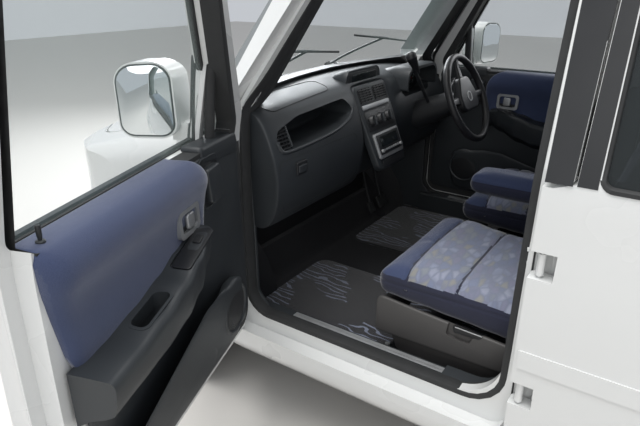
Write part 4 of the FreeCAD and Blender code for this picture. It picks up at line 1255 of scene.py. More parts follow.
leanSine = math.sin(math.radians(dashSizes["stackLean"]))
leanCosine = math.cos(math.radians(dashSizes["stackLean"]))
stackTop = dashSizes["stackTop"]
stackPlace = Matrix(((1, 0, 0, stackTop[0]), (0, leanSine, leanCosine, stackTop[1]),
                     (0, -leanCosine, leanSine, stackTop[2]), (0, 0, 0, 1)))
stackTable = [  # name, finish, outline as (across, distance down the face), low and high off that face, edge
    ("stackFace", "trim_plastic", [(-0.118, -0.004, 0.02), (-0.118, 0.12, 0.1), (-0.104, 0.315, 0.03),
     (0.104, 0.315, 0.03), (0.118, 0.12, 0.1), (0.118, -0.004, 0.02)], -0.03, 0.0, 0.007),
    ("silverStrip", "silver_plastic", trapeze(0.100, 0.098, 0.071, 0.088, 0.005), -0.001, 0.005, 0.002),
    ("heaterPanel", "black_plastic", trapeze(0.100, 0.098, 0.095, 0.170, 0.012), -0.001, 0.0022, 0.001),
    ("radioFrame", "silver_plastic", trapeze(0.092, 0.090, 0.181, 0.276, 0.008, 0.010), -0.001, 0.009, 0.003),
    ("radioFace", "black_plastic", oblong(-0.082, 0.082, 0.188, 0.262, 0.003), 0.004, 0.0115, 0.0015),
    ("radioScreen", "dark_glass", oblong(-0.064, 0.064, 0.196, 0.235, 0.002), 0.010, 0.0122, 0.0005),
    ("tray", "black_plastic", trapeze(0.078, 0.076, 0.283, 0.305, 0.004), -0.001, 0.003, 0.001),
]


def stackPlate(name, finish, corners, low, high, edge, rounds=3):
    made = plate(name, finish, "top", counter(corners), low, high, edge, rounds=rounds)
    made.data.transform(stackPlace)
    return made


def stackKnob(across, down, radius, height, finish="black_plastic"):
    made = turned("knob", finish, [(0.0, height), (radius * 0.82, height), (radius * 0.9, height - 0.0015),
                  (radius, 0.002), (radius * 1.05, 0.0), (0.0, 0.0)], (across, down, 0), steps=36)
    made.data.transform(stackPlace)
    return made


def centreStack():
    plates = {row[0]: stackPlate(*row) for row in stackTable}
    parts = [plates["stackFace"]]
    for middle in (-0.053, 0.053):
        parts.append(stackPlate("ventMouth", "seal_rubber", trapeze(0.047, 0.047, 0.010, 0.064, 0.012, 0.01,
            middle), -0.002, 0.0009, 0))
        slat = plate("stackSlat", "black_plastic", "top",
            counter(oblong(middle - 0.045, middle + 0.045, 0, 0.0035, 0.001)), 0.0, 0.0052, 0.0008, rounds=2)
        row = repeated("stackSlats", slat, 6, (0, 0.0088, 0))
        row.data.transform(stackPlace @ Matrix.Translation((0, 0.0155, 0)))
        parts.append(row)
        for across in [middle - 0.036 + index * 0.024 for index in range(4)]:
            parts.append(stackPlate("stackVane", "black_plastic",
                oblong(across - 0.001, across + 0.001, 0.012, 0.062), 0.0, 0.0035, 0.0004, 1))
    parts += [plates["silverStrip"], plates["heaterPanel"]]
    for across in (-0.060, 0.0, 0.060):
        parts.append(stackKnob(across, 0.133, 0.0205, 0.015))
        parts.append(stackPlate("knobGrip", "trim_plastic", oblong(across - 0.0035, across + 0.0035, 0.115,
            0.151, 0.002), 0.012, 0.0205, 0.0015))
        for turn in [math.radians(-120 + index * 30) for index in range(9)]:
            parts.append(stackKnob(across + 0.0262 * math.sin(turn), 0.133 - 0.0262 * math.cos(turn), 0.0011,
                0.0026, "lamp_glass"))
    parts += [plates["radioFrame"], plates["radioFace"], plates["radioScreen"]]
    for across in [-0.054 + index * 0.018 for index in range(7)]:
        parts.append(stackPlate("radioKey", "silver_plastic",
                                oblong(across - 0.0065, across + 0.0065, 0.244, 0.252, 0.0015),
                                0.010, 0.0135, 0.0008, 2))
    for across in (-0.071, 0.071):
        parts.append(stackKnob(across, 0.249, 0.007, 0.019, "silver_plastic"))
    return joined("centreStack", parts + [plates["tray"]])


def displayHood():
    base = 1.002
    rings = []
    for along, rise, wide in ((-0.795, 0.0, 0.10), (-0.78, 0.030, 0.118), (-0.75, 0.052, 0.127),
                              (-0.715, 0.063, 0.131), (-0.699, 0.064, 0.132), (-0.694, 0.062, 0.130)):
        section = outline(trapeze(wide, wide * 0.92, base - 0.02, base + rise, 0.002, 0.02 + rise * 0.2), 5)
        rings.append([spot("front", *point, along) for point in section])
    hood = loft("displayHood", "trim_plastic", rings)
    screen = plate("displayRim", "black_plastic", "front", trapeze(0.112, 0.104, 1.004, 1.056, 0.008, 0.012),
                   -0.697, -0.6925, 0.001)
    glass = plate("displayGlass", "dark_glass", "front", trapeze(0.090, 0.086, 1.010, 1.048, 0.004),
                  -0.6935, -0.6915, 0.0004)
    return joined("displayHood", [hood, screen, glass])


def clusterHood():
    dialUp = 0.985
    rings = []
    for along, rise, wide in ((-0.765, 0.005, 0.12), (-0.735, 0.045, 0.137), (-0.68, 0.062, 0.142),
                              (-0.625, 0.064, 0.145), (-0.605, 0.060, 0.144)):
        outer = trapeze(wide, wide * 0.95, 0.955, 0.985 + rise, 0.01, 0.05)
        inner = trapeze(wide - 0.011, wide * 0.95 - 0.011, 0.957, 0.974 + rise, 0.008, 0.042)[::-1]
        rings.append([Vector((-0.337 + point.x, along, point.y)) for point in outline(outer)
            + outline(inner)])
    parts = [loft("clusterHood", "trim_plastic", rings), plate("clusterFace", "black_plastic", "front",
        trapeze(0.127, 0.127, 0.94, 1.03, 0.02, 0.04, -0.337), -0.70, -0.694, 0.001)]
    tickHalf = Vector((0.0008, 0.0003, 0.0025))
    for across, radius in ((-0.395, 0.036), (-0.318, 0.040), (-0.247, 0.026)):
        parts.append(turned("dial", "dark_glass", [(0.0, 0.002), (radius * 0.9, 0.002),
            (radius * 0.93, 0.004), (radius, 0.004), (radius, 0.0), (0.0, 0.0)], (across, -0.694, dialUp),
            (0, 1, 0), 40))
        for turn in [math.radians(-130 + index * 26) for index in range(11)]:
            middle = Vector((across + radius * 0.8 * math.sin(turn), -0.6915,
                dialUp + radius * 0.8 * math.cos(turn)))
            parts.append(block("tick", "lamp_glass", middle - tickHalf, middle + tickHalf, 0))
        parts.append(bar("needle", "lamp_red", [(across, -0.690, dialUp), (across - radius * 0.5, -0.690,
                         dialUp - radius * 0.45)], 0.0008, order=2))
    return joined("clusterHood", parts)


def dashSeams():
    # the airbag lid's seam and the cover strip's seam, thin dark lines on the dash's top
    tree = treeOf(bpy.data.objects["dashShell"])

    def laid(points, closed):
        hits = [tree.ray_cast(Vector((*point, 1.3)), Vector((0, 0, -1)))[0] for point in points]
        return bar("dashSeam", "seal_rubber", [hit + Vector((0, 0, 0.0001)) for hit in hits if hit], 0.0016,
                   closed=closed, order=2)

    lid = outline([(0.595, -0.785, 0.02), (0.582, -0.672, 0.03), (0.235, -0.690, 0.04),
        (0.205, -0.785, 0.02)], 5)
    strip = [(across, -0.868 + 0.11 * (abs(across) / 0.6) ** 2) for across in
             [-0.60 + 0.04 * step for step in range(31)]]
    return joined("dashSeams", [laid(evened(lid, 0.03), True), laid(strip, False)])


for name, maker in (("dashShell", dashShell), ("shelfLip", shelfLip), ("sideVent", sideVent),
        ("mistVent", mistVent), ("gloveBox", gloveBox), ("centreStack", centreStack),
        ("displayHood", displayHood), ("clusterHood", clusterHood), ("dashSeams", dashSeams)):
    piece = kept(maker(), "shell")
    piece.name = piece.data.name = name
    if name == "dashShell":
        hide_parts("dashboard")
    if name == "centreStack":
        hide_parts("centre_panel")
print("dashboard made")


# Steering wheel, drawn flat and then set on the column's axis, and the column's lever

wheelSizes = {
    "middle": (-0.337, -0.410, 0.932),
    "tilt": 24.0,
    "ring": 0.166,
    "grip": 0.0142,
    "steps": 120,
    "sides": 14,
    "badge": (0, -0.004, 0.0112),
    "lever": (-0.150, -0.577, 1.096),
    "leverAxis": (0.150, -0.017, 0.175),
}
wheelPlace = Matrix.Translation(wheelSizes["middle"]) @ Matrix.Rotation(math.radians(wheelSizes["tilt"] - 90),
    4, "X")


def steeringWheel():
    form = bmesh.new()
    rows = []
    for turn in [step / wheelSizes["steps"] * math.tau for step in range(wheelSizes["steps"])]:
        grip = wheelSizes["grip"] * (1 + 0.10 * max(0.0, math.cos(4 * (turn - math.pi / 2 + 0.785))) ** 8)
        row = []
        for spin in [side / wheelSizes["sides"] * math.tau for side in range(wheelSizes["sides"])]:
            reach = wheelSizes["ring"] + grip * 0.94 * math.cos(spin)
            row.append(form.verts.new(Vector((reach * math.cos(turn), reach * math.sin(turn),
                                              grip * math.sin(spin) * 1.02))))
        rows.append(row)
    stitched(form, rows, ring=True)
    parts = [finished("wheelRing", form, "wheel_leather", 60)]
    for turn, wide in ((0, 0.030), (180, 0.030), (270, 0.034)):
        rings = []
        for reach, share, thick, drop in ((0.045, 0.72, 0.012, -0.006), (0.085, 0.52, 0.010, -0.008),
                                          (0.125, 0.42, 0.008, -0.007), (0.158, 0.46, 0.008, -0.002)):
            section = outline(trapeze(wide * share, wide * share, -thick, thick, 0.005, 0.007), 4)
            rings.append([Matrix.Rotation(math.radians(turn), 3, "Z")
                @ Vector((reach, point.x, point.y + drop)) for point in section])
        parts.append(loft("spoke", "black_plastic", rings))
    pad = [(-0.080, 0.050, 0.035), (0.080, 0.050, 0.035), (0.082, -0.014, 0.035), (0.044, -0.084, 0.035),
           (-0.044, -0.084, 0.035), (-0.082, -0.014, 0.035)]
    badge = wheelSizes["badge"]
    parts.append(plate("wheelPad", "black_plastic", "top", pad, -0.022, 0.011, 0.009, steps=5, rounds=5))
    parts.append(plate("padSeam", "seal_rubber", "top",
        [(x * 1.03, y * 1.03, radius) for x, y, radius in pad], -0.016, -0.011, 0.001, steps=5))
    parts.append(turned("badge", "silver_plastic", [(0.0155, 0.0004), (0.0165, 0.0022), (0.0200, 0.0022),
                        (0.0210, -0.002), (0.0155, -0.002), (0.0155, 0.0004)], badge, steps=40))
    parts.append(turned("badgeFace", "black_plastic", [(0.0, 0.0010), (0.0156, 0.0008), (0.0156, -0.002),
                        (0.0, -0.002)], badge, steps=40))
    parts.append(turned("hub", "black_plastic", [(0.0, -0.02), (0.036, -0.02), (0.040, -0.03),
        (0.036, -0.055), (0.0, -0.055)], (0, 0, 0), steps=40))
    wheel = joined("steeringWheelRim", parts)
    wheel.data.transform(wheelPlace)
    return wheel


rim = kept(steeringWheel(), "hand_wheel")
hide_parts("steering_wheel")
lever = turned("leverGrip", "black_plastic", [(0.0, -0.086), (0.0085, -0.084), (0.0125, -0.062),
    (0.0165, -0.030), (0.0206, -0.006), (0.0213, 0.004), (0.0205, 0.008), (0.0, 0.008)], wheelSizes["lever"],
    wheelSizes["leverAxis"], 28)
kept(lever, "shell")
print("steering wheel made")


# Rubber seals round the doorways and windows, laid on the step of each opening

doorways = {
    "front": [(-0.690, 0.396, 0.06), (-0.690, 1.040, 0.06), (-0.370, 1.530, 0.08), (0.104, 1.530, 0.03),
              (0.096, 0.560, 0.0), (0.092, 0.396, 0.12)],
    "rear": [(0.200, 0.396, 0.06), (0.222, 1.530, 0.03), (0.890, 1.530, 0.08), (0.945, 1.010, 0.06),
             (0.936, 0.730, 0.12), (0.810, 0.396, 0.06)],
}
windows = {
    "front": [(-0.640, 0.996, 0.025), (-0.352, 1.505, 0.07), (0.104, 1.505, 0.03), (0.108, 0.996, 0.025)],
    "rear": [(0.236, 0.996, 0.025), (0.236, 1.505, 0.03), (0.862, 1.505, 0.07), (0.915, 0.996, 0.04)],
    "quarter": [(1.040, 1.010, 0.04), (1.025, 1.475, 0.05), (1.385, 1.465, 0.07), (1.455, 1.020, 0.06)],
}
sealSizes = {  # sections: reach out from the outline, height over the panel there
    "gap": 0.008,         # the doorway's play round the door's plug
    "tuck": 0.026,        # how much deeper the seal lies along the windscreen pillar
    "seal": [(0.0140, -0.003), (0.0137, 0.0006), (0.0098, 0.0018), (0.0, 0.0018), (-0.002, 0.0010),
             (-0.003, -0.003), (-0.003, -0.034), (-0.0012, -0.036), (0.001, -0.036)],
    "run": [(0.0030, -0.002), (0.0026, 0.0014), (-0.0055, 0.0014), (-0.0075, -0.001), (-0.0078, -0.0145),
            (-0.001, -0.0160), (0.0002, -0.006)],
}
sides = ((1, "left"), (-1, "right"))


def edgeStrip(name, corners, node, side, section, grow=0.0, probe=0.003, base=0.66, tuck=0.0, exact=False):
    # a closed strip along an outline on a panel; tuck sets it deeper where the outline leans along the
    # windscreen, exact keeps it to each place's own level
    measure = surfaceAcross(node, side)
    edge = evened(grown(outline(corners), grow), 0.03)
    count = len(edge)
    leaning = [0.0] * count
    if tuck:
        leaning = [clamped(min((point.x - far.x - 0.35) / 0.35, (far.y - point.y - 0.2) / 0.2,
                               (point.y - 1.02) / 0.10, (1.49 - point.y) / 0.08))
                   for point, far in zip(edge, grown(edge, 1.0))]
    smooth = {}
    for distance in {max(reach, probe) for reach, height in section}:
        levels = []
        last = base
        for point in grown(edge, distance):
            found = measure(point.x, point.y)
            last = found if found and found > base - 0.15 else last
            levels.append(last)
        smooth[distance] = []
        for i in range(count):
            ranked = sorted(levels[(i + k) % count] for k in (-2, -1, 0, 1, 2))
            trusted = ranked[2] if leaning[i] else ranked[1]
            close = exact and abs(levels[i] - trusted) < 0.008
            smooth[distance].append(levels[i] if close else trusted)
    reaches = {reach: grown(edge, reach) for reach, height in section}
    form = bmesh.new()
    rows = []
    for index in range(count):
        row = []
        for reach, height in section:
            place = reaches[reach][index]
            level = smooth[max(reach, probe)][index]
            if reach > 0:
                place = place.lerp(edge[index], leaning[index])
                level += (smooth[min(smooth)][index] - level) * leaning[index]
            row.append(form.verts.new(Vector((side * (level + height - tuck * leaning[index]), *place))))
        rows.append(row)
    stitched(form, rows, ring=True)
    return finished(name, form, "seal_rubber", 50)


def windowRun(name, place, node, side):
    return edgeStrip(name, windows[place], node, side, sealSizes["run"], probe=0.012, base=0.7)


for side, label in sides:
    node = "body_side_" + label
    seals = [edgeStrip("seal", doorways[place], node, side, sealSizes["seal"], sealSizes["gap"],
                       tuck=sealSizes["tuck"], exact=place == "front") for place in doorways]
    seals.append(windowRun("quarterRun", "quarter", node, side))
    for name, points, radius in (("gapSeal", [(0.702, 0.1908, 1.012), (0.687, 0.1930, 1.20),
            (0.645, 0.1965, 1.42), (0.614, 0.1985, 1.52)], 0.0018),
            ("edgeSeal", [(0.6872, 0.1335, 0.978), (0.6885, 0.1335, 0.70), (0.6885, 0.1335, 0.44)], 0.0022)):
        seals.append(bar(name, "seal_rubber", [(side * across, along, up) for across, along, up in points],
            radius))
    kept(joined("bodySeals" + label, seals), "shell")
    kept(windowRun("rearWindowRun" + label, "rear", "rear_door_" + label, side), "rear_%s_door" % label)
for half in hang(crossed(windowRun("frontWindowRun", "front", "front_door_right", -1)), "windowRun"):
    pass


def innerRun(node, corners, wide):
    # the rubber channel on the cabin side of a right door's window frame; wide is its width along the front
    tree = treeOf(frame["nodes"][node])
    edge = evened(outline(corners), 0.025)
    form = bmesh.new()
    rows = []
    level = 0.66
    for point, far, near in zip(edge, grown(edge, 1.0), grown(edge, -0.004)):
        out = far - point
        reach = 0.011
        if out.x < -0.5 and point.y > 1.0:
            reach = wide + (0.010 - wide) * (point.y - 1.0) / 0.5
        probe = point + out * 0.008
        hit = tree.ray_cast(Vector((-0.2, *probe)), Vector((-1, 0, 0)))
        level = abs(hit[0].x) if hit[0] and abs(hit[0].x) < 0.73 else level
        end = point + out * reach
        if out.y < -0.5:
            near = point
        if corners[0][0] < 0:
            for place in (point, end, near):
                place.x = min(place.x, 0.0935 + (place.y - 1.0) * 0.008)
        rows.append([form.verts.new(Vector((-level - rise, *place))) for rise, place in (
            (0.002, end), (-0.003, end), (-0.0045, point), (-0.003, near), (0.040, near), (0.040, point))])
    stitched(form, rows, ring=True)
    return finished("innerRun", form, "seal_rubber", 50)


frontRun = [innerRun("front_door_right", windows["front"], 0.028)]
for across in (-0.668, -0.706):
    frontRun.append(bar("divider", "seal_rubber", [(across - 0.002, -0.545, 0.998),
        (across + 0.006, -0.545, 1.10), (across + 0.020, -0.545, 1.20)], 0.0125))
for half in hang(crossed(joined("frontInnerRun", frontRun)), "innerRun"):
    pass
rearRun = crossed(joined("rearInnerRun", [innerRun("rear_door_right", windows["rear"], 0.013)]))
pair(rearRun, "rearInnerRunRight", ("rear_left_door", "rear_right_door"))
print("door seals made")


# Cabin floor: kick panels, pillar and sill trims, and mats of cut pile

def bothSides(name, parts):
    return joined(name, parts + [mirrored(part, part.name) for part in parts])


def cabinTrims():
    low, high = 0.628, 0.6405
    parts = [plate("kickPanel", "trim_plastic", "side", [(-0.932, 0.295, 0.02), (-0.932, 0.97, 0.02),
                   (-0.705, 0.97, 0.02), (-0.700, 0.43, 0.05), (-0.66, 0.385, 0.02), (-0.66, 0.295, 0.01)],
                   low, high, 0.004),
             plate("postTrim", "trim_plastic", "side", [(0.128, 0.30, 0.01), (0.112, 0.56, 0.03),
                   (0.122, 0.985, 0.02), (0.186, 0.985, 0.02), (0.184, 0.30, 0.01)], low, high, 0.004),
             plate("cornerTrim", "trim_plastic", "side", [(-0.06, 0.3865, 0.0), (0.1015, 0.3865, 0.128),
                   (0.1015, 0.60, 0.0), (0.0970, 0.60, 0.0), (0.0970, 0.3910, 0.1235), (-0.06, 0.3910, 0.0)],
                   0.604, 0.668, 0.0008, rounds=1)]
    section = [(0.657, 0.383), (0.655, 0.3872), (0.612, 0.3868), (0.604, 0.380), (0.6015, 0.298),
        (0.6075, 0.296), (0.611, 0.374), (0.653, 0.378)]
    parts.append(loft("sillCover", "trim_plastic", [[Vector((across, along, up)) for across, up in section]
                 for along in (-0.70, -0.45, -0.1, 0.125)]))
    for across, wide in ((0.6215, 0.004), (0.6330, 0.0065), (0.6465, 0.003)):
        parts.append(plate("scuffStrip", "silver_plastic", "top",
            counter(oblong(across - wide, across + wide, -0.56, 0.03, 0.002)), 0.386, 0.3886, 0.0008, 3, 2))
    return bothSides("cabinTrims", parts)


def pillarTrims():
    # moulded covers on the insides of the windscreen pillars, from the doorway's edge to the glass
    parts = []
    for side, label in sides:
        tree = treeOf(frame["nodes"]["body_side_" + label])
        rings = []
        for step in range(13):
            up = 1.030 + 0.470 * step / 12
            climb = (up - 1.040) / 0.49
            doorEdge = Vector((side * (0.668 - 0.075 * climb), -0.716 + 0.320 * climb, up))
            glassEdge = Vector((side * (0.612 - 0.082 * climb), -0.868 + 0.345 * climb, up))
            eye = Vector((side * 0.25, glassEdge.y + 0.30, up))
            front = []
            for share in range(9):
                way = (doorEdge.lerp(glassEdge, share / 8) - eye)
                hit = tree.ray_cast(eye, way.normalized())[0]
                far = (hit - eye).length if hit and (hit - eye).length < way.length + 0.03 else way.length
                front.append(eye + way.normalized() * (far - 0.005))
            rings.append(front + [point + (point - eye).normalized() * 0.004 for point in reversed(front)])
        parts.append(loft("pillarTrim", "pillar_trim", rings))
    return joined("pillarTrims", parts)


def floorMats():
    corners = [(0.115, -0.80, 0.05), (0.595, -0.80, 0.05), (0.612, -0.30, 0.05), (0.60, 0.02, 0.04),
               (0.13, 0.02, 0.04)]
    edge = [(*point, 0.2985) for point in outline(corners)]
    return bothSides("floorMats", [plate("mat", "mat_pile", "top", corners, 0.2925, 0.3000, 0.0025),
                                   bar("matEdge", "seal_rubber", edge, 0.0028, closed=True, order=3)])


kept(pillarTrims(), "shell")
kept(cabinTrims(), "shell")
kept(floorMats(), "shell")


# Mirrors: bright glass in a black rim, set into each housing's rear face

mirrorFace = {"across": 0.802, "middle": -0.492, "slope": 0.32}


def mirrorSet():
    rim = plate("mirrorRim", "black_plastic", "front", [(0.7375, 1.0085, 0.034), (0.7400, 1.1885, 0.042),
                (0.8670, 1.1840, 0.046), (0.8655, 1.0125, 0.034)], -0.012, 0.0015, 0.004)
    glass = plate("mirrorGlass", "mirror_glass", "front", [(0.7430, 1.0145, 0.029), (0.7455, 1.1825, 0.038),
                  (0.8615, 1.1780, 0.041), (0.8600, 1.0185, 0.029)], 0.0006, 0.0024, 0.0006)
    made = joined("mirrorSet", [rim, glass])
    for vertex in made.data.vertices:
        vertex.co.y += mirrorFace["middle"] + (vertex.co.x - mirrorFace["across"]) * mirrorFace["slope"]
    return made


for half in hang(mirrorSet(), "mirrorGlass"):
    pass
print("cabin floor and mirrors made")


# Seat skirts: a moulded cover on each seat's side with a recess for the lever, and the rails under it

def seatSkirt():
    side = [(-0.303, 0.398, 0.02), (-0.303, 0.520, 0.022), (-0.2, 0.510, 0.3), (0.188, 0.482, 0.01),
            (0.188, 0.404, 0.015)]
    outer = plate("skirtOuter", "skirt_plastic", "side", side, 0.561, 0.5755, 0.006, rounds=4)
    recess = plate("recessTool", "skirt_plastic", "side", [(-0.085, 0.462, 0.012), (-0.078, 0.51, 0.006),
                   (0.004, 0.502, 0.006), (-0.020, 0.456, 0.014)], 0.5655, 0.60, 0)
    parts = [carved(outer, recess),
             plate("leverPaddle", "black_plastic", "side", [(-0.066, 0.478, 0.008), (-0.066, 0.499, 0.006),
                   (0.022, 0.496, 0.012), (0.010, 0.480, 0.012)], 0.566, 0.5758, 0.003),
             plate("leverEdge", "silver_plastic", "side", [(-0.060, 0.4955, 0.001), (-0.060, 0.4985, 0.001),
                   (0.016, 0.4955, 0.001), (0.016, 0.4925, 0.001)], 0.5750, 0.5763, 0.0005),
             plate("skirtBase", "skirt_plastic", "side", [(-0.27, 0.402, 0.01), (-0.24, 0.330, 0.03),
                   (0.15, 0.330, 0.03), (0.18, 0.402, 0.01)], 0.520, 0.548, 0.004),
             plate("skirtInner", "skirt_plastic", "side", side, 0.0895, 0.1045, 0.006, rounds=4),
             block("skirtFront", "skirt_plastic", (0.100, -0.292, 0.40), (0.566, -0.272, 0.505), 0.008)]
    for across in (0.145, 0.520):
        for name, wide, front, rear, low, high, edge in (("railTop", 0.014, -0.27, 0.18, 0.312, 0.334, 0.003),
                ("railLow", 0.019, -0.30, 0.20, 0.292, 0.314, 0.004)):
            parts.append(block(name, "steel_frame", (across - wide, front, low), (across + wide, rear, high),
                edge))
        for along in (-0.285, 0.185):
            parts.append(turned("railBolt", "silver_plastic", [(0.0, 0.008), (0.008, 0.008), (0.0085, 0.0),
                (0.0, 0.0)], (across, along, 0.314), steps=12))
    for along, length in ((-0.225, 0.03), (-0.175, 0.022)):
        parts.append(block("railLatch", "silver_plastic", (0.535, along, 0.318),
            (0.556, along + length, 0.331), 0.003))
    return joined("seatSkirt", parts)


skirtLeft = pair(seatSkirt(), "seatSkirtRight", ("shell", "shell"))[0]
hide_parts("seat_bases")
print("seat skirts made")


# Overlays: thin pieces that follow a panel's outer skin

def overlay(name, finish, node, side, quad, out, thick, cells=(4, 14), foot=None):
    # quad: four (along, height) corners, the first two at the bottom; out is how far it stands off the panel,
    # whose line is drawn straight on under the height foot
    measure = surfaceAcross(node, side)
    wide, tall = cells
    form = bmesh.new()
    skins = {}
    for r in range(tall + 1):
        left = Vector(quad[0]).lerp(Vector(quad[3]), r / tall)
        right = Vector(quad[1]).lerp(Vector(quad[2]), r / tall)
        for c in range(wide + 1):
            point = left.lerp(right, c / wide)
            found = measure(point.x, point.y) or 0.7
            if foot and point.y < foot:
                above = measure(point.x, foot)
                found = above + (above - measure(point.x, foot + 0.04)) * (foot - point.y) / 0.04
            for level in (out, out - thick):
                skins[(level, r, c)] = form.verts.new(Vector((side * (found + level), *point)))
    for level in (out, out - thick):
        for r in range(tall):
            for c in range(wide):
                form.faces.new([skins[(level, r + a, c + b)] for a, b in ((0, 0), (0, 1), (1, 1), (1, 0))])
    rim = [(0, c) for c in range(wide)] + [(r, wide) for r in range(tall)]
    rim += [(tall, c) for c in range(wide, 0, -1)] + [(r, 0) for r in range(tall, 0, -1)]
    stitched(form, [[skins[(level, r, c)] for r, c in rim] for level in (out, out - thick)])
    return finished(name, form, finish)


garnishes = {  # corners on the centre post and on the rear door's frame, as (along, height)
    "post": [(0.1372, 0.996), (0.1893, 0.996), (0.1972, 1.46), (0.1380, 1.46)],
    "frame": [(0.1966, 0.997), (0.2335, 0.997), (0.2335, 1.50), (0.2066, 1.50)],
}
for side, label in sides:
    kept(overlay("postGarnish" + label, "garnish", "body_side_" + label, side, garnishes["post"], 0.0014,
        0.0018, foot=1.06), "shell")
    kept(overlay("rearDoorGarnish" + label, "garnish", "rear_door_" + label, side, garnishes["frame"], 0.0014,
                 0.0018), "rear_%s_door" % label)


# Door strikers and check straps on the centre posts' jambs

def jambSet():
    jamb = 0.6835
    out = (1, 0, 0)
    parts = [plate(name, finish, "side", corners, jamb + low, jamb + high, edge)
        for name, finish, corners, low, high, edge in (
            ("checkStrap", "paint", oblong(0.1085, 0.1265, 0.778, 0.842, 0.004), 0.0, 0.0022, 0.0008),
            ("strikerPlate", "silver_plastic", oblong(0.1085, 0.1265, 0.640, 0.694, 0.004), 0.0, 0.0018, 0.0006),
            ("strikerSlot", "seal_rubber", oblong(0.112, 0.122, 0.654, 0.681, 0.003), 0.0016, 0.0021, 0.0001))]
    for up in (0.794, 0.826):
        parts.append(turned("strapBolt", "paint", [(0.0, 0.0016), (0.005, 0.0016), (0.006, 0.0004),
            (0.006, 0.0), (0.0, 0.0)], (jamb + 0.0022, 0.1175, up), out, 6, 30))
    parts.append(turned("grommet", "seal_rubber", [(0.0, 0.0018), (0.007, 0.0018), (0.009, 0.0005),
        (0.009, 0.0), (0.0, 0.0)], (jamb, 0.118, 0.560), out, 24))
    return joined("jambSet", parts)


pair(jambSet(), "jambSetRight", ("shell", "shell"))
print("garnish and sill pieces made")


# Wheels: a grooved tyre with tread blocks, and a cover with its nuts on each rim

tyreSizes = {
    "tread": 0.2546,       # radius of the carcass under the tread blocks
    "top": 0.2598,
    "lugs": 54,
    "skew": 0.22,
    "rows": [(-0.054, 0.0125, -0.0022), (-0.0185, 0.013, 0.0), (0.0185, 0.013, 0.0),
             (0.054, 0.0125, -0.0022)],     # each row's middle, half width and drop
}
axle = (1, 0, 0)


def tyrePiece():
    half = [(0.168, 0.061), (0.1762, 0.0612), (0.183, 0.0655), (0.1925, 0.0700), (0.199, 0.0708),
        (0.2000, 0.0716), (0.2030, 0.0716), (0.2040, 0.0710), (0.212, 0.0718), (0.226, 0.0700),
        (0.238, 0.0678), (0.248, 0.0630), (tyreSizes["tread"] - 0.002, 0.0560), (tyreSizes["tread"], 0.042)]
    profile = [(radius, -across) for radius, across in half] + half[::-1]
    parts = [turned("carcass", "tyre_rubber", profile + profile[:1], (0, 0, 0), axle, 96, 50)]
    reach = math.pi * tyreSizes["top"] / tyreSizes["lugs"] - 0.0028
    for across, wide, drop in tyreSizes["rows"]:
        lug = block("lug", "tyre_rubber", (across - wide, -reach, 0.2515),
                    (across + wide, reach, tyreSizes["top"] + drop), 0.0012, 1)
        for vertex in lug.data.vertices:
            vertex.co.y += (vertex.co.x - across) * math.copysign(tyreSizes["skew"], across)
        parts.append(repeated("lugs", lug, tyreSizes["lugs"], turn=(math.tau / tyreSizes["lugs"], 0, 0)))
    return joined("tyre", parts)


def coverPiece():
    # the outer face of the wheel, drawn on its axis: a dished disc, its centre cap and four nuts
    cap = turned("centreCap", "wheel_steel", [(0.0, 0.0585), (0.018, 0.0578), (0.029, 0.0545), (0.033, 0.048),
                 (0.034, 0.036), (0.0, 0.036)], (0, 0, 0), axle)
    ring = turned("coverRing", "wheel_steel", [(0.150, 0.062), (0.155, 0.0655), (0.161, 0.0655),
        (0.1625, 0.061), (0.157, 0.057), (0.150, 0.058), (0.150, 0.062)], (0, 0, 0), axle, 72)
    nut = turned("nut", "silver_plastic", [(0.0, 0.050), (0.006, 0.0495), (0.0085, 0.047), (0.0085, 0.032),
                 (0.0, 0.032)], (0, 0.050, 0), axle, 6, 30)
    valve = turned("valve", "seal_rubber", [(0.0, 0.014), (0.0035, 0.013), (0.0045, 0.0), (0.0, 0.0)],
                   (0.040, 0, 0.135), (0.9, 0, 0.3), 12)
    return joined("wheelCover", [cap, ring, repeated("nuts", nut, 4, turn=(math.tau / 4, 0, 0)), valve])


def placed(piece, name, matrix):
    twin = linked(name, piece.data.copy())
    twin.data.name = name
    twin.data.transform(matrix)
    return twin


tyreMaster = tyrePiece()
coverMaster = coverPiece()
for end in ("front", "rear"):
    for sign, label in sides:
        corner = "%s_%s_" % (end, label)
        middle = Vector(joints[corner + "wheel_roll"]["pos_m"])
        where = Matrix.Translation(middle) @ Matrix.Rotation(0 if sign > 0 else math.pi, 4, "Z")
        tyre = kept(placed(tyreMaster, corner + "tread", where), corner + "wheel")
        kept(placed(coverMaster, corner + "cover", where), corner + "wheel")
        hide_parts("tyre_%s_%s" % (end, label))
for master in (tyreMaster, coverMaster):
    bpy.data.objects.remove(master)
print("wheels made")


# Outside fittings: wipers, plates, handles, lamps' inner parts and mouldings

def wiper(name, pivot, tip, blade, out):
    # an arm from its pivot to its tip, with a blade across it; out is the way off the glass
    pivot, tip, blade, out = Vector(pivot), Vector(tip), Vector(blade), Vector(out)
    parts = [turned("wiperHub", "black_plastic", [(0.0, 0.012), (0.012, 0.011), (0.015, 0.0), (0.015, -0.012),
                    (0.0, -0.012)], pivot, out, 20)]
    for part, finish, points, radius in (("wiperArm", "black_plastic",
            [pivot, pivot.lerp(tip, 0.3) + out * 0.012, tip], 0.0045),
            ("wiperBlade", "seal_rubber", [tip - blade, tip + out * 0.003, tip + blade], 0.0042),
            ("wiperSpine", "black_plastic", [tip - blade * 0.6, tip + out * 0.012, tip + blade * 0.6],
            0.0028)):
        parts.append(bar(part, finish, points, radius))
    return joined(name, parts)


def screenPoint(across, up, lift=0.012):
    # a place just off the windscreen's outer face
    hit = treeOf(frame["nodes"]["windscreen"]).ray_cast(Vector((across, -2.0, up)), Vector((0, 1, 0)))
    return hit[0] + hit[1] * lift


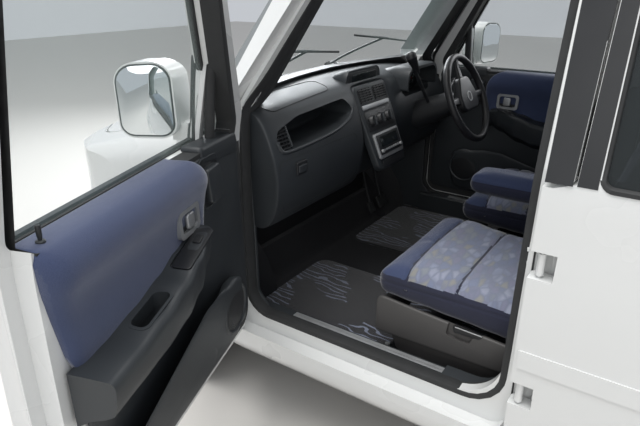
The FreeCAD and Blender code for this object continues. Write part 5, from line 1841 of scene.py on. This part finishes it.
def numberPlate(name, along, up, facing):
    face = along + facing * 0.002
    board = plate(name, "plate_white", "front", oblong(-0.165, 0.165, up - 0.0825, up + 0.0825, 0.012), along,
        face, 0.0008)
    rim = bar(name + "Rim", "plate_white", [(x, face, z) for x, z, radius in
              oblong(-0.158, 0.158, up - 0.0755, up + 0.0755)], 0.0013, closed=True, order=2)
    bolt = turned("plateBolt", "silver_plastic", [(0.0, 0.004), (0.0045, 0.0036), (0.0055, 0.0), (0.0, 0.0)],
                  (-0.105, face, up + 0.052), (0, facing, 0), 6, 30)
    return joined(name, [board, rim, repeated("plateBolts", bolt, 2, (0.21, 0, 0))])


def facePatch(name, finish, node, corners, out, thick, cells):
    # a thin piece that follows a rear panel: its outline in (across, height) is filled by a fine grid
    measure = surfaceAlong(node, 1)
    loop = outline(corners, 8)
    form = bmesh.new()
    form.faces.new([form.verts.new((point.x, 0, point.y)) for point in loop])
    spans = [(Vector((1, 0, 0)), min(point.x for point in loop), max(point.x for point in loop)),
             (Vector((0, 0, 1)), min(point.y for point in loop), max(point.y for point in loop))]
    step = max(end - start for normal, start, end in spans) / cells
    for normal, start, end in spans:
        place = start + step
        while place < end - step * 0.3:
            bmesh.ops.bisect_plane(form, geom=form.verts[:] + form.edges[:] + form.faces[:],
                plane_co=normal * place, plane_no=normal, dist=0.00001)
            place += step
    back = bmesh.ops.duplicate(form, geom=form.faces[:])
    behind = {item for item in back["geom"] if isinstance(item, bmesh.types.BMVert)}
    rims = [edge for edge in form.edges if len(edge.link_faces) == 1]
    last = 0.0
    for vertex in form.verts:
        found = measure(vertex.co.x, vertex.co.z)
        last = found if found is not None else last
        vertex.co.y = last + out - (thick if vertex in behind else 0.0)
    bmesh.ops.bridge_loops(form, edges=rims)
    return finished(name, form, finish)


def frontFittings():
    bumper = surfaceAlong("front_bumper", -1)
    lean = (0, -0.5, 0.87)
    parts = [wiper("wiperDriver", (-0.08, -0.905, 1.050), screenPoint(-0.35, 1.13), (0.24, 0.006, 0.03),
        lean), wiper("wiperPassenger", (0.45, -0.865, 1.040), screenPoint(0.16, 1.12), (0.22, 0.0, 0.02),
        lean), numberPlate("frontPlate", bumper(0.0, 0.50) - 0.004, 0.50, -1)]
    radius = 0.052
    for sign, label in sides:
        parts.append(turned("fogCover", "black_plastic", [(0.0, 0.003), (radius * 0.8, 0.003),
            (radius * 0.86, 0.0), (radius, 0.002), (radius * 1.06, -0.002), (radius * 1.06, -0.02),
            (0.0, -0.02)], (sign * 0.52, bumper(sign * 0.52, 0.40), 0.40), (sign * 0.25, -1, 0), 40))
        parts.append(overlay("sideMarker", "amber_lens", "fenders", sign, [(-0.845, 0.72), (-0.785, 0.72),
                     (-0.790, 0.748), (-0.845, 0.748)], 0.006, 0.008, (6, 4)))
    return joined("frontFittings", parts)


lampCells = [  # bottom, top, finish
    (0.655, 0.80, "lamp_red"),
    (0.806, 0.905, "amber_lens"),
    (0.911, 1.00, "reflector"),
    (1.006, 1.165, "lamp_red"),
]


def rearFittings():
    parts = [numberPlate("rearPlate", surfaceAlong("rear_bumper", 1)(0.0, 0.46) + 0.003, 0.408, 1)]
    for sign, label in sides:
        inner, outer = sign * 0.632, sign * 0.700
        for low, high, finish in lampCells:
            edge = [(inner, low, 0.012), (inner, high, 0.012), (outer, high, 0.02), (outer, low, 0.02)]
            parts.append(facePatch("lampCell", finish, "tail_lamps", edge, 0.0016, 0.003, 10))
        parts.append(facePatch("rearReflector", "lamp_red", "rear_bumper",
                               oblong(sign * 0.46, sign * 0.56, 0.36, 0.392, 0.008), 0.003, 0.004, 12))
    parts.append(turned("tailPipe", "silver_plastic", [(0.019, 0.0), (0.021, 0.0), (0.021, 0.30),
        (0.019, 0.30), (0.019, 0.0)], (-0.40, 1.36, 0.235), (0, 1, -0.02), 32))
    return joined("rearFittings", parts)


tailFace = surfaceAlong("tailgate", 1)
glassFace = surfaceAlong("tailgate_glass", 1)


def tailFittings():
    handle = facePatch("tailHandle", "black_plastic", "tailgate", oblong(-0.22, 0.22, 0.905, 0.955, 0.012),
                       0.012, 0.014, 16)
    arm = wiper("rearWiper", (0.0, tailFace(0.0, 0.985) + 0.008, 0.985),
                (-0.20, glassFace(-0.20, 1.06) + 0.014, 1.06), (-0.14, 0.0, 0.10), (0, 1, 0.15))
    return joined("tailFittings", [handle, arm])


def tailRun():
    # the rubber round the tailgate's window
    edge = evened(outline(trapeze(0.545, 0.490, 1.010, 1.540, 0.06, 0.07)), 0.03)
    path = [(point.x, (tailFace(*out) or 1.6) - 0.001, point.y)
        for point, out in zip(edge, grown(edge, 0.012))]
    return bar("tailRun", "seal_rubber", path, 0.0065, closed=True, order=3)


kept(frontFittings(), "shell")
kept(rearFittings(), "shell")
kept(tailFittings(), "tail_door")
kept(tailRun(), "tail_door")


# Side mouldings and key locks

def moulding(name, node, side, front, rear):
    low, high = 0.556, 0.603
    return overlay(name, "paint", node, side, [(front, low), (rear, low), (rear, high), (front, high)],
                   0.0036, 0.0046, (24, 3))


for side, label in sides:
    kept(moulding("rearMoulding" + label, "rear_door_" + label, side, 0.142, 0.930), "rear_%s_door" % label)
for half in hang(crossed(moulding("frontMoulding", "front_door_right", -1, -0.700, 0.122)), "frontMoulding"):
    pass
lockPlace = (0.060, 0.815)
lock = turned("keyLock", "silver_plastic", [(0.0, 0.003), (0.008, 0.003), (0.0105, 0.0015), (0.0115, -0.004),
              (0.0, -0.004)], (surfaceAcross("front_door_right", -1)(*lockPlace), *lockPlace), (1, 0, 0), 28)
for half in hang(lock, "keyLock"):
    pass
print("outside fittings made")


# Cabin lining: a padded roof cloth, rear door trims, the inner mirror and the pedals

def headLining():
    tree = treeOf(frame["nodes"]["roof"])
    rings = []
    for along in [-0.36 + 1.76 * step / 20 for step in range(21)]:
        lower = []
        for across in [column * 0.062 for column in range(-8, 9)]:
            hit = tree.ray_cast(Vector((across, along, 1.2)), Vector((0, 0, 1)))[0]
            lower.append(Vector((across, along, (hit.z if hit else 1.6) - 0.006)))
        rings.append(lower + [point + Vector((0, 0, 0.004)) for point in reversed(lower)])
    return loft("headLining", "lining_cloth", rings)


def rearTrim():
    # the rear door's moulded panel, its cloth insert, armrest and pull
    return joined("rearTrim", [plate("rearPanel", "trim_plastic", "side",
        [(0.232, 0.43, 0.05), (0.236, 0.985, 0.02), (0.905, 0.985, 0.03), (0.900, 0.76, 0.10),
        (0.790, 0.43, 0.08)], wallX - 0.009, wallX, 0.004), plate("rearInsert", "seat_cloth", "side",
        [(0.275, 0.74, 0.04), (0.275, 0.955, 0.05), (0.865, 0.955, 0.06), (0.855, 0.78, 0.05)], wallX - 0.019,
        wallX - 0.006, 0.008, rounds=4), plate("rearArm", "trim_plastic", "side",
        [(0.36, 0.655, 0.02), (0.345, 0.715, 0.02), (0.72, 0.70, 0.02), (0.70, 0.650, 0.02)], wallX - 0.055,
        wallX - 0.004, 0.014, rounds=4), plate("rearPull", "silver_plastic", "side",
        oblong(0.335, 0.405, 0.80, 0.85, 0.01), wallX - 0.024, wallX - 0.016, 0.003)])


def pedalSet():
    parts = [bar("columnStay", "steel_frame", [(-0.42, -0.86, 0.66), (-0.24, -0.86, 0.66)], 0.011)]
    tilt = Matrix.Rotation(math.radians(28), 4, "X")
    for across, wide in ((-0.385, 0.038), (-0.285, 0.022)):
        parts.append(bar("pedalArm", "steel_frame", [(across, -0.86, 0.66), (across, -0.845, 0.52),
                     (across, -0.800, 0.405)], 0.006))
        pad = block("pedalPad", "seal_rubber", (-wide, -0.005, -0.026), (wide, 0.006, 0.026), 0.003, 2)
        rib = block("pedalRib", "seal_rubber", (-wide * 0.85, 0.004, -0.0198), (wide * 0.85, 0.0085, -0.0162),
                    0.0006, 1)
        for piece in (pad, repeated("pedalRibs", rib, 5, (0, 0, 0.009))):
            piece.data.transform(Matrix.Translation((across, -0.797, 0.395)) @ tilt)
            parts.append(piece)
    return joined("pedalSet", parts)


def innerMirror():
    back = block("mirrorBack", "black_plastic", (-0.112, -0.014, -0.031), (0.112, 0.010, 0.031), 0.012, 4)
    face = plate("mirrorFace", "mirror_glass", "front", oblong(-0.106, 0.106, -0.026, 0.026, 0.014), 0.0095,
        0.0112, 0.0005)
    head = joined("mirrorHead", [back, face])
    head.data.transform(Matrix.Translation((0, -0.470, 1.425)) @ Matrix.Rotation(math.radians(14), 4, "Z"))
    stem = bar("mirrorStem", "black_plastic", [(0, -0.480, 1.430), (0, -0.497, 1.478), (0, -0.490, 1.505)],
        0.008)
    return joined("innerMirror", [head, stem])


kept(headLining(), "shell")
kept(pedalSet(), "shell")
kept(innerMirror(), "shell")
pair(rearTrim(), "rearTrimRight", ("rear_left_door", "rear_right_door"))
print("cabin lining made")
